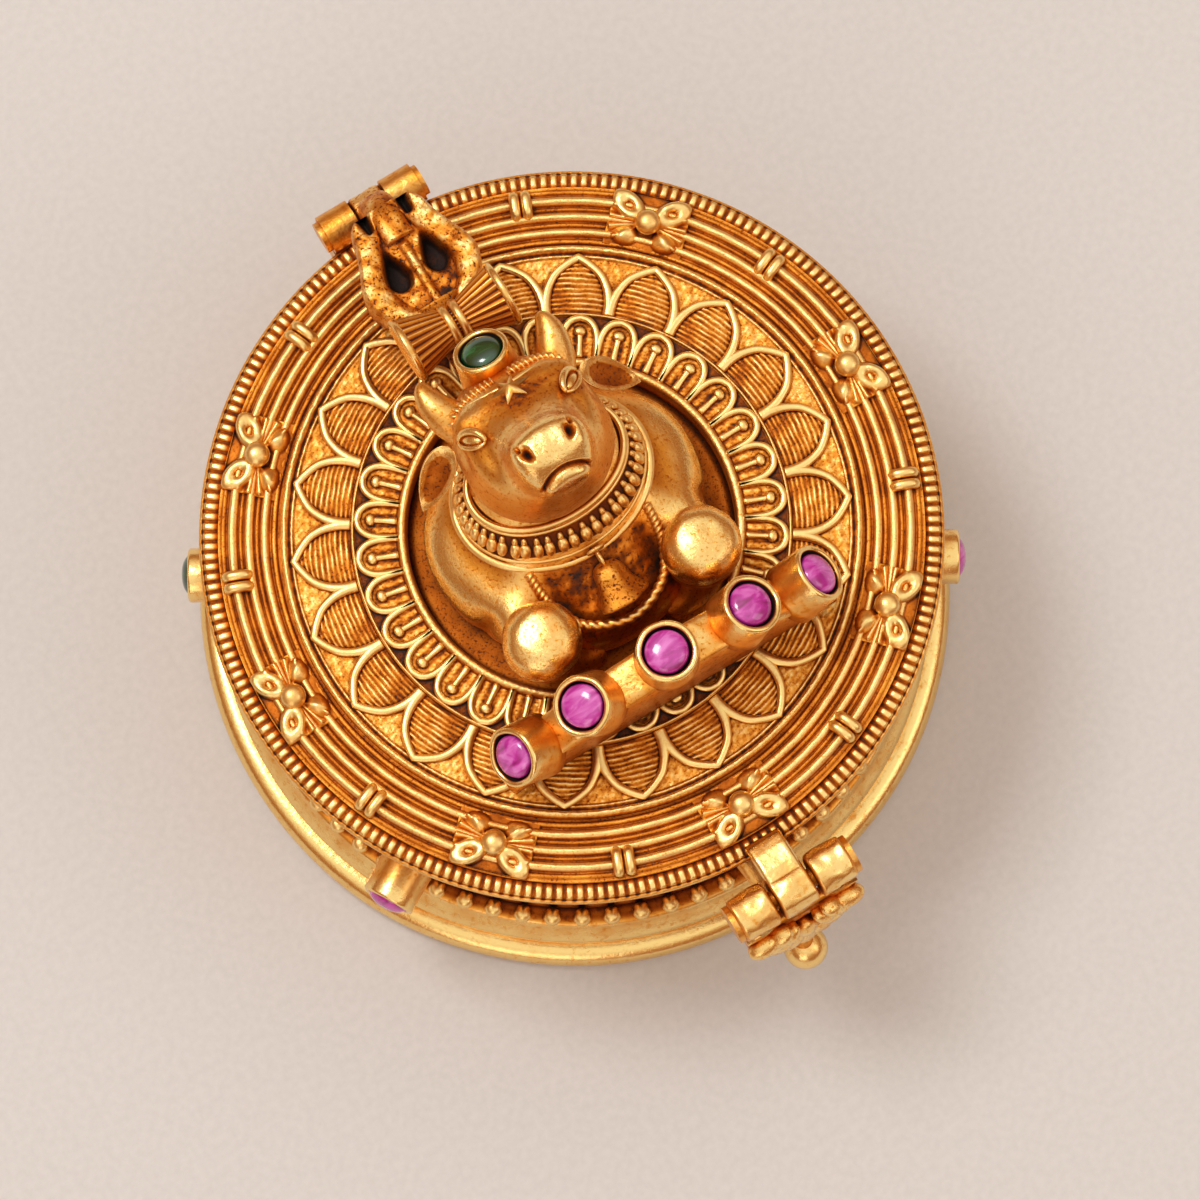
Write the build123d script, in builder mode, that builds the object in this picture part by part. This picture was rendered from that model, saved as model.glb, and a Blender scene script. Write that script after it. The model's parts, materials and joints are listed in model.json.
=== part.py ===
"""A small round sindoor box in gilt silver: a cup on a flared foot, and a hinged
lid that carries a seated Nandi bull, his drum and trident, and an arched crest
of five set stones. A hasp hangs on the front of the lid and closes over a lug."""

from build123d import *
import os
from math import asin, cos, pi, radians, sin

# Driving sizes, in mm. The origin is the middle of the base, on the table.
rim_radius = 26.0  # outside of the milled rim of the lid
rim_top = 25.0  # height of the milled rim above the table
rim_height = 1.4
rim_width = 1.4
rim_teeth = 96
tooth_depth = 0.45
rim_overhang = 2.0  # of the rim, past the chased sleeve round the cup
sleeve_thickness = 0.6
cup_thickness = 1.0
floor_thickness = 1.2
seat_gap = 0.15  # between the lid and the top of the wall
groove_count = 36
groove_width = 0.5
groove_depth = 0.35

# Foot
foot_step = 2.2  # of the foot, past the wall
base_step = 1.4  # of the base ring, past the foot
base_ring_height = 2.4
base_sheet = 1.0
foot_top = 5.3
foot_shoulder = 0.8  # height of the foot's upper bevel
bead_radius = 0.65
bead_count = 36

# Hinge at the back and hasp at the front, both on axes along X
hinge_reach = 1.1  # of the hinge's axis, past the rim
hinge_knuckle_radius = 1.45
hinge_knuckle_length = 2.4
hinge_pin_radius = 0.6
clasp_reach = 3.2  # of the hasp's axis, past the rim
clasp_drop = 0.5  # of it, below the rim's top
clasp_knuckle_radius = 1.7
clasp_knuckle_length = 2.8
clasp_pin_radius = 0.7
hinge_gap = 0.15  # along the pin, between two knuckles
clasp_gap = 0.3
pin_fit = 0.04  # radial play of a pin in its knuckles
swing_gap = 0.3  # round a knuckle that turns past its neighbour
pin_head = 0.4

# Lid: flat lands that step up towards the well
land_outer_z = 25.4
land_petal_z = 26.0
land_arch_z = 26.5
band_width = 4.4  # of the wired land next to the rim
petal_land_width = 4.9
arch_land_width = 3.9
well_floor_z = 24.8
well_ring_width = 0.7
relief = 0.45  # height of the soldered wires and petals

# Side stones
side_stone_angles = (-30, 30, 150, 210)
side_stone_z = 12.0
side_girdle = 0.7
side_stone_reach = 3.6  # of the collet, out from the wall
side_collet_radius = 2.0
side_stone_radius = 1.55

# Crest
crest_advance = 2.6  # of the crest's front, past the well's edge
crest_inset = 1.3  # of its arch, within the arch land
crest_thickness = 2.9
crest_centre_z = 22.6
crest_stone_step = 24.35  # degrees from one stone to the next
crest_collet_radius = 2.2
crest_collet_height = 2.4
crest_stone_radius = 1.5
crest_girdle = 0.6
stone_sink = 0.9  # of a stone's seat, below its collet's lip
stone_fit = 0.05
cabochon_height = 1.1

rim_bottom = rim_top - rim_height
wall_top = rim_bottom - seat_gap
wall_radius = rim_radius - rim_overhang
cup_radius = wall_radius - sleeve_thickness
foot_radius = wall_radius + foot_step
base_ring_radius = foot_radius + base_step
lid_radius = rim_radius - rim_width
land_petal_radius = lid_radius - band_width
land_arch_radius = land_petal_radius - petal_land_width
well_radius = land_arch_radius - arch_land_width
hinge_y = rim_radius + hinge_reach
hinge_z = rim_top
clasp_y = -rim_radius - clasp_reach
clasp_z = rim_top - clasp_drop
relief_outer_z = land_outer_z + relief
relief_arch_z = land_arch_z + relief

os.makedirs("parts", exist_ok=True)


def write(piece, name):
    piece.part.label = name
    export_step(piece.part, "parts/" + name + ".step")


# Base ring: a sheet with a thick rounded edge
with BuildPart() as base_ring:
    with BuildSketch(Plane.XZ):
        with BuildLine():
            edge = base_ring_radius - base_ring_height / 2
            Polyline((edge, 0), (0, 0), (0, base_sheet), (cup_radius, base_sheet),
                     (cup_radius, base_ring_height), (edge, base_ring_height),
                     (base_ring_radius, base_ring_height * 0.7), (base_ring_radius, base_ring_height * 0.3),
                     close=True)
        make_face()
    revolve(axis=Axis.Z)
write(base_ring, "base_ring")

# Foot: a rounded step that narrows to the wall
with BuildPart() as foot_ring:
    with BuildSketch(Plane.XZ):
        with BuildLine():
            shoulder = foot_top - foot_shoulder
            Polyline((foot_radius - 0.2, base_ring_height), (cup_radius, base_ring_height),
                     (cup_radius, foot_top), (wall_radius + 2 * bead_radius, foot_top),
                     (foot_radius - foot_step / 3, shoulder), (foot_radius, base_ring_height + 1.0), close=True)
        make_face()
    revolve(axis=Axis.Z)
write(foot_ring, "foot_ring")

# Cup: plain turned inside, which holds the powder
with BuildPart() as body_cup:
    with BuildSketch(Plane.XY.offset(base_sheet)):
        Circle(cup_radius)
    extrude(amount=wall_top - base_sheet)
    with BuildSketch(Plane.XY.offset(base_sheet + floor_thickness)):
        Circle(cup_radius - cup_thickness)
    extrude(amount=wall_top, mode=Mode.SUBTRACT)
write(body_cup, "body_cup")

# Sleeve with upright grooves between narrow panels
with BuildPart() as wall_sleeve:
    with BuildSketch(Plane.XY.offset(foot_top)):
        Circle(wall_radius)
        Circle(cup_radius, mode=Mode.SUBTRACT)
        with PolarLocations(wall_radius, groove_count):
            Rectangle(2 * groove_depth, groove_width, mode=Mode.SUBTRACT)
    extrude(amount=wall_top - foot_top)
write(wall_sleeve, "wall_sleeve")

# Beaded wire that stands on the foot against the sleeve
with BuildPart() as foot_beads:
    with BuildSketch(Plane.XY.offset(foot_top)):
        with BuildLine():
            corners = []
            for bead in range(bead_count):
                for share, reach in ((0.0, 1.2), (0.28, 2.0), (0.72, 2.0)):
                    angle = 2 * pi * (bead + share) / bead_count
                    corners.append((wall_radius * cos(angle) + reach * bead_radius * cos(angle),
                                    wall_radius * sin(angle) + reach * bead_radius * sin(angle)))
            Polyline(*corners, close=True)
        make_face()
        Circle(wall_radius, mode=Mode.SUBTRACT)
    extrude(amount=2 * bead_radius)
write(foot_beads, "foot_beads")

# Side collets: short tubes soldered square to the wall, each with a round stone
with BuildPart() as wall_solid:
    Cylinder(wall_radius, rim_top, align=(Align.CENTER, Align.CENTER, Align.MIN))


def radial_plane(angle, reach, height):
    out = Vector(cos(radians(angle)), sin(radians(angle)), 0)
    return Plane(origin=out * reach + Vector(0, 0, height), z_dir=out)


side_face = wall_radius + side_stone_reach
stone_seat = side_face - stone_sink
with BuildPart() as side_collets:
    for angle in side_stone_angles:
        with BuildSketch(radial_plane(angle, wall_radius - 1, side_stone_z)):
            Circle(side_collet_radius)
        extrude(amount=side_stone_reach + 1)
        with BuildSketch(radial_plane(angle, stone_seat, side_stone_z)):
            Circle(side_stone_radius + stone_fit)
        extrude(amount=side_stone_reach, mode=Mode.SUBTRACT)
    add(wall_solid.part, mode=Mode.SUBTRACT)
write(side_collets, "side_collets")


def cabochon(plane, radius, girdle, height):
    """A domed stone: a low cylinder under a cap of a sphere."""
    dome = (radius ** 2 + height ** 2) / (2 * height)
    half_turn = asin(radius / dome) / 2
    middle = (dome * sin(half_turn), girdle + height - dome + dome * cos(half_turn))
    with BuildPart() as stone:
        with BuildSketch(Plane.XZ):
            with BuildLine():
                Polyline((0, girdle + height), (0, 0), (radius, 0), (radius, girdle))
                ThreePointArc((radius, girdle), middle, (0, girdle + height))
            make_face()
        revolve(axis=Axis.Z)
    return plane.location * stone.part


def side_stones(angles, name):
    with BuildPart() as stones:
        for angle in angles:
            seat = radial_plane(angle, stone_seat, side_stone_z)
            add(cabochon(seat, side_stone_radius, side_girdle, cabochon_height))
    write(stones, name)


side_stones([angle for angle in side_stone_angles if sin(radians(angle)) < 0], "side_rubies")
side_stones([angle for angle in side_stone_angles if sin(radians(angle)) > 0], "side_greens")


def across(y, z, start):
    """A plane whose normal runs along +X, with its origin on the hinge line."""
    return Plane(origin=(start, y, z), x_dir=(0, 1, 0), z_dir=(1, 0, 0))


# Hinge: two knuckles on a leaf behind the cup, one between them on the lid
outer_knuckle_start = hinge_knuckle_length / 2 + hinge_gap
hinge_half_width = outer_knuckle_start + hinge_knuckle_length
leaf_top = rim_bottom - seat_gap
leaf_foot_z = leaf_top - 8.5
leaf_thickness = 0.6
with BuildPart() as hinge_leaf:
    with BuildSketch(across(0, 0, -hinge_half_width)):
        with BuildLine():
            Polyline((cup_radius, leaf_foot_z), (cup_radius, leaf_top), (hinge_y - hinge_pin_radius, leaf_top),
                     (hinge_y - hinge_pin_radius, hinge_z), (hinge_y + hinge_knuckle_radius, hinge_z),
                     (hinge_y + hinge_knuckle_radius, leaf_top - hinge_knuckle_radius),
                     (wall_radius + 1.5 * leaf_thickness, leaf_foot_z + 2.5),
                     (wall_radius + leaf_thickness, leaf_foot_z), close=True)
        make_face()
    extrude(amount=2 * hinge_half_width)
    with BuildSketch(across(hinge_y, hinge_z, -hinge_half_width)):
        Circle(hinge_knuckle_radius)
    extrude(amount=2 * hinge_half_width)
    with BuildSketch(across(hinge_y, hinge_z, -outer_knuckle_start)):
        Circle(hinge_knuckle_radius + swing_gap)
    extrude(amount=2 * outer_knuckle_start, mode=Mode.SUBTRACT)
    with BuildSketch(across(hinge_y, hinge_z, -hinge_half_width)):
        Circle(hinge_pin_radius)
    extrude(amount=2 * hinge_half_width, mode=Mode.SUBTRACT)
    add(wall_solid.part, mode=Mode.SUBTRACT)
write(hinge_leaf, "hinge_leaf")


def pin(y, z, radius, half_width, head_radius, name):
    with BuildPart() as piece:
        with BuildSketch(across(y, z, -half_width)):
            Circle(radius)
        extrude(amount=2 * half_width)
        for side in (-1, 1):
            with BuildSketch(across(y, z, side * half_width)):
                Circle(head_radius)
            extrude(amount=side * pin_head)
    write(piece, name)


pin(hinge_y, hinge_z, hinge_pin_radius, hinge_half_width, 1.15, "hinge_pin")

# Catch lug on the front wall, behind the hasp
flap_inner_y = clasp_y - 0.3
lug_z = clasp_z - 9.0
lug_gap = 0.3  # between the lug and the hasp
with BuildPart() as catch_lug:
    with BuildSketch(Plane(origin=(0, -cup_radius, lug_z), x_dir=(1, 0, 0), z_dir=(0, -1, 0))):
        RectangleRounded(3.6, 2.4, 0.6)
    extrude(amount=-flap_inner_y - cup_radius - lug_gap, taper=6)
    add(wall_solid.part, mode=Mode.SUBTRACT)
write(catch_lug, "catch_lug")

# Lid plate: stepped lands round a sunk well, turned in one piece
with BuildPart() as lid_plate:
    with BuildSketch(Plane.XZ):
        with BuildLine():
            Polyline((0, rim_bottom), (lid_radius, rim_bottom), (lid_radius, land_outer_z),
                     (land_petal_radius, land_outer_z), (land_petal_radius, land_petal_z),
                     (land_arch_radius, land_petal_z), (land_arch_radius, land_arch_z),
                     (well_radius, land_arch_z), (well_radius, well_floor_z), (0, well_floor_z),
                     (0, rim_bottom))
        make_face()
    revolve(axis=Axis.Z)
write(lid_plate, "lid_plate")

# Inner flange, which drops into the mouth of the cup
flange_play = 0.3
flange_depth = 1.5
with BuildPart() as lid_flange:
    with BuildSketch(Plane.XY.offset(rim_bottom - flange_depth)):
        Circle(cup_radius - cup_thickness - flange_play)
        Circle(cup_radius - cup_thickness - flange_play - 0.7, mode=Mode.SUBTRACT)
    extrude(amount=flange_depth)
write(lid_flange, "lid_flange")

# Milled rim: one tooth, repeated round the lid, cleared round the hinge knuckles
with BuildPart() as hinge_clearance:
    with BuildSketch(across(hinge_y, hinge_z, -hinge_half_width - pin_head - swing_gap)):
        Circle(hinge_knuckle_radius + swing_gap)
    extrude(amount=2 * (hinge_half_width + pin_head + swing_gap))

with BuildPart() as milled_rim:
    with BuildSketch(Plane.XY.offset(rim_bottom)):
        with BuildLine():
            corners = []
            for tooth in range(rim_teeth):
                for share, radius in ((0.0, rim_radius), (0.5, rim_radius - tooth_depth)):
                    angle = 2 * pi * (tooth + share) / rim_teeth
                    corners.append((radius * cos(angle), radius * sin(angle)))
            Polyline(*corners, close=True)
        make_face()
        Circle(lid_radius, mode=Mode.SUBTRACT)
    extrude(amount=rim_height)
    add(hinge_clearance.part, mode=Mode.SUBTRACT)
write(milled_rim, "milled_rim")


def ring_wire(radius, width, z, height):
    """A wire ring with a low arched section, its flat side down."""
    with BuildPart() as wire:
        with BuildSketch(Plane.XZ):
            with BuildLine():
                Line((radius - width / 2, z), (radius + width / 2, z))
                Line((radius + width / 2, z), (radius + width / 5, z + height))
                Line((radius + width / 5, z + height), (radius - width / 5, z + height))
                Line((radius - width / 5, z + height), (radius - width / 2, z))
            make_face()
        revolve(axis=Axis.Z)
    return wire.part


wire_width = 0.85
with BuildPart() as band_wires:
    for place in (1, 2, 3):
        add(ring_wire(lid_radius - band_width * place / 4, wire_width, land_outer_z, relief))
write(band_wires, "band_wires")

with BuildPart() as border_rings:
    add(ring_wire(land_petal_radius - wire_width / 2, wire_width, land_petal_z, relief))
    add(ring_wire(land_arch_radius - wire_width / 4, wire_width / 2, land_arch_z, relief))
write(border_rings, "border_rings")

with BuildPart() as well_ring:
    add(ring_wire(well_radius + well_ring_width / 2, well_ring_width, land_arch_z, relief))
write(well_ring, "well_ring")

# Petals: pointed tongues, soldered side by side round the petal land
petal_count = 22
petal_base = land_arch_radius + 0.05
petal_tip = land_petal_radius - 1.0
petal_belly = petal_base + 0.42 * (petal_tip - petal_base)
petal_half = 0.9 * pi * petal_belly / petal_count
petal_neck = petal_base + 0.8 * (petal_tip - petal_base)
with BuildSketch() as petal:
    with BuildLine():
        Polyline((petal_base, -petal_half * 0.72), (petal_belly, -petal_half), (petal_neck, -petal_half * 0.55),
                 (petal_tip, 0), (petal_neck, petal_half * 0.55), (petal_belly, petal_half),
                 (petal_base, petal_half * 0.72), close=True)
    make_face()
with BuildPart() as petal_ring:
    with BuildSketch(Plane.XY.offset(land_petal_z)):
        with PolarLocations(0, petal_count, start_angle=-90):
            add(petal.sketch)
    extrude(amount=relief)
write(petal_ring, "petal_ring")

# Arches: small round-headed tongues that point outward round the arch land
arch_count = 34
arch_inner = well_radius + well_ring_width
arch_outer = land_arch_radius - 0.5
arch_half = 0.77 * pi * arch_outer / arch_count
with BuildSketch() as arch:
    with BuildLine():
        crown = arch_outer - arch_half * 0.6
        Polyline((arch_inner, -arch_half * 0.85), (crown, -arch_half), (arch_outer, -arch_half * 0.45),
                 (arch_outer, arch_half * 0.45), (crown, arch_half), (arch_inner, arch_half * 0.85), close=True)
    make_face()
with BuildPart() as arch_ring:
    with BuildSketch(Plane.XY.offset(land_arch_z)):
        with PolarLocations(0, arch_count, start_angle=-90):
            add(arch.sketch)
    extrude(amount=relief)
write(arch_ring, "arch_ring")

# Pins: one bead-headed pin along the middle of each arch
pin_rise = 0.2
pin_width = 0.4
with BuildPart() as arch_pins:
    with BuildSketch(Plane.XY.offset(relief_arch_z)):
        with PolarLocations((arch_inner + arch_outer) / 2, arch_count, start_angle=-90):
            Rectangle(0.6 * (arch_outer - arch_inner), pin_width)
    extrude(amount=pin_rise)
write(arch_pins, "arch_pins")

# Rosettes on the band wires, each with a ball, and pairs of bars between them
rosette_radius = lid_radius - band_width / 2 + 0.2
rosette_half = band_width / 2 - 0.1
rosette_count = 8
hinge_place = rosette_count // 2  # the hinge stands where this rosette would
rosette_angles = [-90 + 360 / rosette_count * turn for turn in range(rosette_count) if turn != hinge_place]
with BuildSketch() as rosette:
    with BuildLine():
        corners = []
        for lobe in range(4):
            for swing, reach in ((-45, 0.75), (-14, 1.3), (14, 1.3)):
                angle = radians(45 + 90 * lobe + swing)
                corners.append((rosette_half * reach * cos(angle), rosette_half * reach * sin(angle)))
        Polyline(*corners, close=True)
    make_face()
with BuildPart() as rosettes:
    with BuildSketch(Plane.XY.offset(relief_outer_z)):
        for angle in rosette_angles:
            with PolarLocations(rosette_radius, 1, start_angle=angle):
                add(rosette.sketch)
    extrude(amount=relief)
write(rosettes, "rosettes")

ball_radius = 0.9
with BuildPart() as rosette_balls:
    with BuildSketch(Plane.XY.offset(relief_outer_z + relief)):
        for angle in rosette_angles:
            with PolarLocations(rosette_radius, 1, start_angle=angle):
                RegularPolygon(ball_radius, 8)
    extrude(amount=ball_radius, taper=30)
write(rosette_balls, "rosette_balls")

bar_width = 0.65
bar_pitch = 1.25
with BuildPart() as band_bars:
    with BuildSketch(Plane.XY.offset(relief_outer_z)):
        with PolarLocations(rosette_radius, rosette_count, start_angle=180 / rosette_count):
            with GridLocations(1, bar_pitch, 1, 2):
                Rectangle(0.55 * band_width, bar_width)
    extrude(amount=relief)
write(band_bars, "band_bars")

# Lid side of the hinge: the middle knuckle and the step by which it sits on the rim
knuckle_half = hinge_knuckle_length / 2
step_y = lid_radius + 0.1
with BuildPart() as lid_knuckle:
    with BuildSketch(across(0, 0, -knuckle_half)):
        with BuildLine():
            Polyline((step_y, rim_top), (hinge_y, rim_top), (hinge_y, hinge_z + hinge_knuckle_radius),
                     (step_y, hinge_z + hinge_knuckle_radius), close=True)
        make_face()
        with Locations((hinge_y, hinge_z)):
            Circle(hinge_knuckle_radius)
            Circle(hinge_pin_radius + pin_fit, mode=Mode.SUBTRACT)
    extrude(amount=hinge_knuckle_length)
write(lid_knuckle, "lid_knuckle")

# Front knuckle of the lid, on a strap soldered across the rim
clasp_half = clasp_knuckle_length / 2
strap_thickness = 0.8
strap_lap = 0.4  # of the strap, past the rim onto the lid
with BuildPart() as clasp_knuckle:
    with BuildSketch(across(0, 0, -clasp_half)):
        with BuildLine():
            Polyline((-step_y - strap_lap, rim_top), (clasp_y, rim_top),
                     (clasp_y, clasp_z + clasp_knuckle_radius),
                     (-step_y - strap_lap, rim_top + strap_thickness), close=True)
        make_face()
        with Locations((clasp_y, clasp_z)):
            Circle(clasp_knuckle_radius)
            Circle(clasp_pin_radius + pin_fit, mode=Mode.SUBTRACT)
    extrude(amount=clasp_knuckle_length)
write(clasp_knuckle, "clasp_knuckle")

# Hasp: a flap with two knuckles, a carved palmette on its face and a ball at its foot
flap_thickness = 1.3
flap_drop = 12.5  # from the hasp's axis to the flap's foot
flap_outer_y = flap_inner_y - flap_thickness
flap_foot_z = clasp_z - flap_drop
flap_half = clasp_half + clasp_gap + clasp_knuckle_length
flap_side = ((1.0, 3.5), (0.76, 4.9), (0.92, 6.7), (0.72, 8.7), (0.36, 9.9), (0.18, flap_drop))
with BuildPart() as hasp_flap:
    with BuildSketch(Plane(origin=(0, flap_inner_y, 0), x_dir=(1, 0, 0), z_dir=(0, -1, 0))):
        with BuildLine():
            right = [(flap_half * share, clasp_z - drop) for share, drop in flap_side]
            left = [(-x, z) for x, z in reversed(right)]
            Polyline((-flap_half, clasp_z), (flap_half, clasp_z), *right, *left, close=True)
        make_face()
    extrude(amount=flap_thickness)
    with BuildSketch(across(clasp_y, clasp_z, -flap_half)):
        Circle(clasp_knuckle_radius)
    extrude(amount=2 * flap_half)
    with BuildSketch(across(clasp_y, clasp_z, -clasp_half - clasp_gap)):
        Circle(clasp_knuckle_radius + swing_gap)
    extrude(amount=2 * (clasp_half + clasp_gap), mode=Mode.SUBTRACT)
    with BuildSketch(across(clasp_y, clasp_z, -flap_half)):
        Circle(clasp_pin_radius)
    extrude(amount=2 * flap_half, mode=Mode.SUBTRACT)
write(hasp_flap, "hasp_flap")

pin(clasp_y, clasp_z, clasp_pin_radius, flap_half, 1.4, "hasp_pin")

# Palmette: leaves that fan up from one root, the shorter ones to the sides
palmette_root_z = clasp_z - 9.7
palmette_thickness = 0.9
with BuildPart() as hasp_leaf:
    with BuildSketch(Plane(origin=(0, flap_outer_y, palmette_root_z), x_dir=(1, 0, 0), z_dir=(0, -1, 0))):
        Circle(0.9)
        for lean, length in ((0, 5.2), (34, 4.6), (-34, 4.6), (68, 3.4), (-68, 3.4)):
            with PolarLocations(0, 1, start_angle=90 + lean):
                with Locations((length / 2, 0)):
                    Ellipse(length / 2, 0.95)
    extrude(amount=palmette_thickness)
write(hasp_leaf, "hasp_leaf")

hasp_ball_radius = 1.6
ball_reach = 1.0  # of the ball's middle, in front of the flap
with BuildPart() as hasp_ball:
    with BuildSketch(Plane.YZ):
        with BuildLine():
            Polyline((flap_outer_y + 0.2, flap_foot_z), (flap_outer_y - 0.9 * ball_reach, flap_foot_z - 1.6),
                     (flap_outer_y + 0.1, flap_foot_z - 2.4), (flap_inner_y - 0.2, flap_foot_z), close=True)
        make_face()
    extrude(amount=0.6, both=True)
    with Locations((0, flap_outer_y - ball_reach, flap_foot_z - hasp_ball_radius - 1.0)):
        Sphere(hasp_ball_radius)
write(hasp_ball, "hasp_ball")

# Figure: drawn in mm for the well and the floor named here, and set in the real well
# at its own scale
drawn_well_radius = 11.4
drawn_floor_z = 24.8
figure = well_radius / drawn_well_radius


def spot(x, y, z):
    """A place on the figure, moved from the drawn well to the real one."""
    return Vector(figure * x, figure * y, well_floor_z + figure * (z - drawn_floor_z))


def level(y, z):
    return Plane(origin=spot(0, y, z))


def ellipse_loft(sections):
    """A smooth body through ellipses, each given as (plane, half width, half depth)."""
    with BuildPart() as body:
        for plane, half_width, half_depth in sections:
            with BuildSketch(plane):
                Ellipse(figure * half_width, figure * half_depth)
        loft()
    return body.part


# Bull: body and chest rise from the well and narrow to the neck
def chest_form(swell):
    return ellipse_loft([
        (level(0.3, drawn_floor_z), 9.0 + swell, 8.8 + swell),
        (level(0.4, 27.5), 10.2 + swell, 9.6 + swell),
        (level(0.8, 30.5 + swell * 0.5), 8.8 + swell, 8.7 + swell),
        (level(2.9, 33.0 + swell * 0.5), 6.2 + swell, 4.9 + swell),
        (level(3.6, 35.0 + swell), 5.4 + swell, 4.5 + swell)])


chest = chest_form(0)
with BuildPart() as bull_body:
    add(chest)
write(bull_body, "bull_body")

# Collet on the poll leans back, with its seat let into the back of the head
poll_axis = Vector(0, 0.5, 0.87)
poll_seat = Plane(origin=spot(0, 11.1, 38.5), x_dir=(1, 0, 0), z_dir=poll_axis)
poll_stone_radius = 1.4
poll_girdle = 0.5

# Head: level slices from the neck up to the muzzle, which points to the sky. Each has
# its height, the places of its front and back, and its half width.
head_levels = (
    (34.0, -0.3, 10.5, 5.0), (36.0, -0.6, 10.8, 5.4), (38.0, -0.7, 10.3, 5.5), (39.5, -0.6, 9.6, 5.2),
    (41.0, -0.4, 8.3, 4.4), (42.0, -0.25, 6.9, 3.5), (43.0, -0.1, 5.6, 2.9), (44.2, 0.3, 4.7, 2.75),
    (45.2, 0.9, 4.1, 2.5), (45.9, 1.7, 3.3, 1.6))
corner_share = 0.76  # of the half sizes, at a slice's four rounded corners


def head_form(swell):
    with BuildPart() as form:
        for z, front, back, half_width in head_levels:
            width = figure * (half_width + swell)
            depth = figure * ((back - front) / 2 + swell)
            w, d = width * corner_share, depth * corner_share
            with BuildSketch(level((front + back) / 2, z + swell * 0.5)):
                with BuildLine():
                    Spline((0, -depth), (w, -d), (width, 0), (w, d), (0, depth), (-w, d), (-width, 0), (-w, -d),
                           periodic=True)
                make_face()
        loft()
    return form.part


head = head_form(0)
eye_radius = 0.8
with BuildPart() as bull_head:
    add(head)
    for side in (-1, 1):
        with Locations(spot(side * 4.3, 5.7, 39.7)):
            Sphere(figure * eye_radius)
        with BuildSketch(level(2.7, 46.5)):
            with Locations((side * figure * 1.7, 0)):
                Ellipse(figure * 0.62, figure * 0.34, rotation=side * 55)
        extrude(amount=-figure * 2.2, mode=Mode.SUBTRACT)
    with Locations(spot(0, -0.2, 44.1)):
        Box(figure * 3.8, figure * 2.0, figure * 0.25, mode=Mode.SUBTRACT)
    with BuildSketch(poll_seat):
        Circle(poll_stone_radius + stone_fit)
    extrude(amount=2 * cabochon_height, mode=Mode.SUBTRACT)
    add(chest, mode=Mode.SUBTRACT)
write(bull_head, "bull_head")

# Horns: short, curving back beside the drum
with BuildPart() as bull_horns:
    for centre, direction, radius in (((4.6, 9.0, 36.6), (0.7, 0.4, 0.6), 1.2),
                                      ((5.5, 10.6, 38.6), (0.1, 0.75, 0.65), 0.9),
                                      ((4.9, 12.7, 40.2), (-0.4, 0.75, 0.5), 0.3)):
        with BuildSketch(Plane(origin=spot(*centre), z_dir=direction)):
            Circle(figure * radius)
    loft()
    mirror(about=Plane.YZ)
    add(bull_head.part, mode=Mode.SUBTRACT)
    add(chest, mode=Mode.SUBTRACT)
write(bull_horns, "bull_horns")

# Ears: hollow leaves that droop from the sides of the head
ear_plane = Plane(origin=spot(6.9, 6.1, 35.4), x_dir=(0.65, -0.41, -0.63), z_dir=(0.536, -0.315, 0.758))
ear_thickness = 0.9
ear_hollow = 0.5


def ear_leaf(height, start, end, rise, fall):
    """A pointed leaf between two arcs, at a height over the back of the ear."""
    with BuildSketch(ear_plane.offset(figure * height)) as leaf:
        with BuildLine():
            ThreePointArc((figure * start, 0), (-0.3 * figure, figure * rise), (figure * end, 0))
            ThreePointArc((figure * end, 0), (-0.3 * figure, figure * fall), (figure * start, 0))
        make_face()
    return leaf.sketch


with BuildPart() as bull_ears:
    extrude(ear_leaf(0, -2.6, 2.5, 1.5, -1.4), amount=figure * ear_thickness)
    extrude(ear_leaf(ear_thickness - ear_hollow, -1.6, 1.7, 0.95, -0.85), amount=figure * ear_hollow,
            mode=Mode.SUBTRACT)
    mirror(about=Plane.YZ)
    add(bull_head.part, mode=Mode.SUBTRACT)
    add(chest, mode=Mode.SUBTRACT)
write(bull_ears, "bull_ears")

# Forelegs: folded, with round knees in front of the chest
with BuildPart() as bull_forelegs:
    for x, y, z, radius in ((5.4, -5.9, drawn_floor_z, 1.9), (6.0, -6.4, 29.0, 2.4), (6.4, -6.8, 32.8, 2.7),
                            (6.3, -6.7, 34.8, 2.1), (6.2, -6.6, 35.6, 1.0)):
        with BuildSketch(Plane(origin=spot(x, y, z))):
            Circle(figure * radius)
    loft()
    mirror(about=Plane.YZ)
    add(chest, mode=Mode.SUBTRACT)
write(bull_forelegs, "bull_forelegs")

# Collar: a sloping band round the neck, over a wire
collar_low = level(2.7, 32.6)
collar_high = level(3.4, 35.2)
with BuildPart() as neck_collar:
    add(ellipse_loft([(collar_low, 6.9, 5.7), (collar_high, 5.9, 4.9)]))
    add(chest, mode=Mode.SUBTRACT)
    add(bull_head.part, mode=Mode.SUBTRACT)
write(neck_collar, "neck_collar")

with BuildPart() as collar_wire:
    with BuildSketch(collar_low):
        Ellipse(figure * 7.2, figure * 6.0)
    extrude(amount=-figure * 0.6)
    add(chest, mode=Mode.SUBTRACT)
write(collar_wire, "collar_wire")

# Rope: a raised loop down the chest, round the bell
rope_half = 0.42
with BuildPart() as rope_necklace:
    with BuildSketch(level(0, drawn_floor_z + 2)):
        with BuildLine():
            start, bend, foot = (4.3 * figure, -3.6 * figure), (3.9 * figure, -5.0 * figure), (0, -8.4 * figure)
            Line((-start[0], start[1]), (-bend[0], bend[1]))
            ThreePointArc((-bend[0], bend[1]), foot, bend)
            Line(bend, start)
            offset(amount=figure * rope_half)
        make_face()
    extrude(amount=figure * 12)
    add(chest_form(0.6), mode=Mode.INTERSECT)
    for blocker in (chest, neck_collar.part, collar_wire.part, bull_forelegs.part):
        add(blocker, mode=Mode.SUBTRACT)
write(rope_necklace, "rope_necklace")

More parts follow.
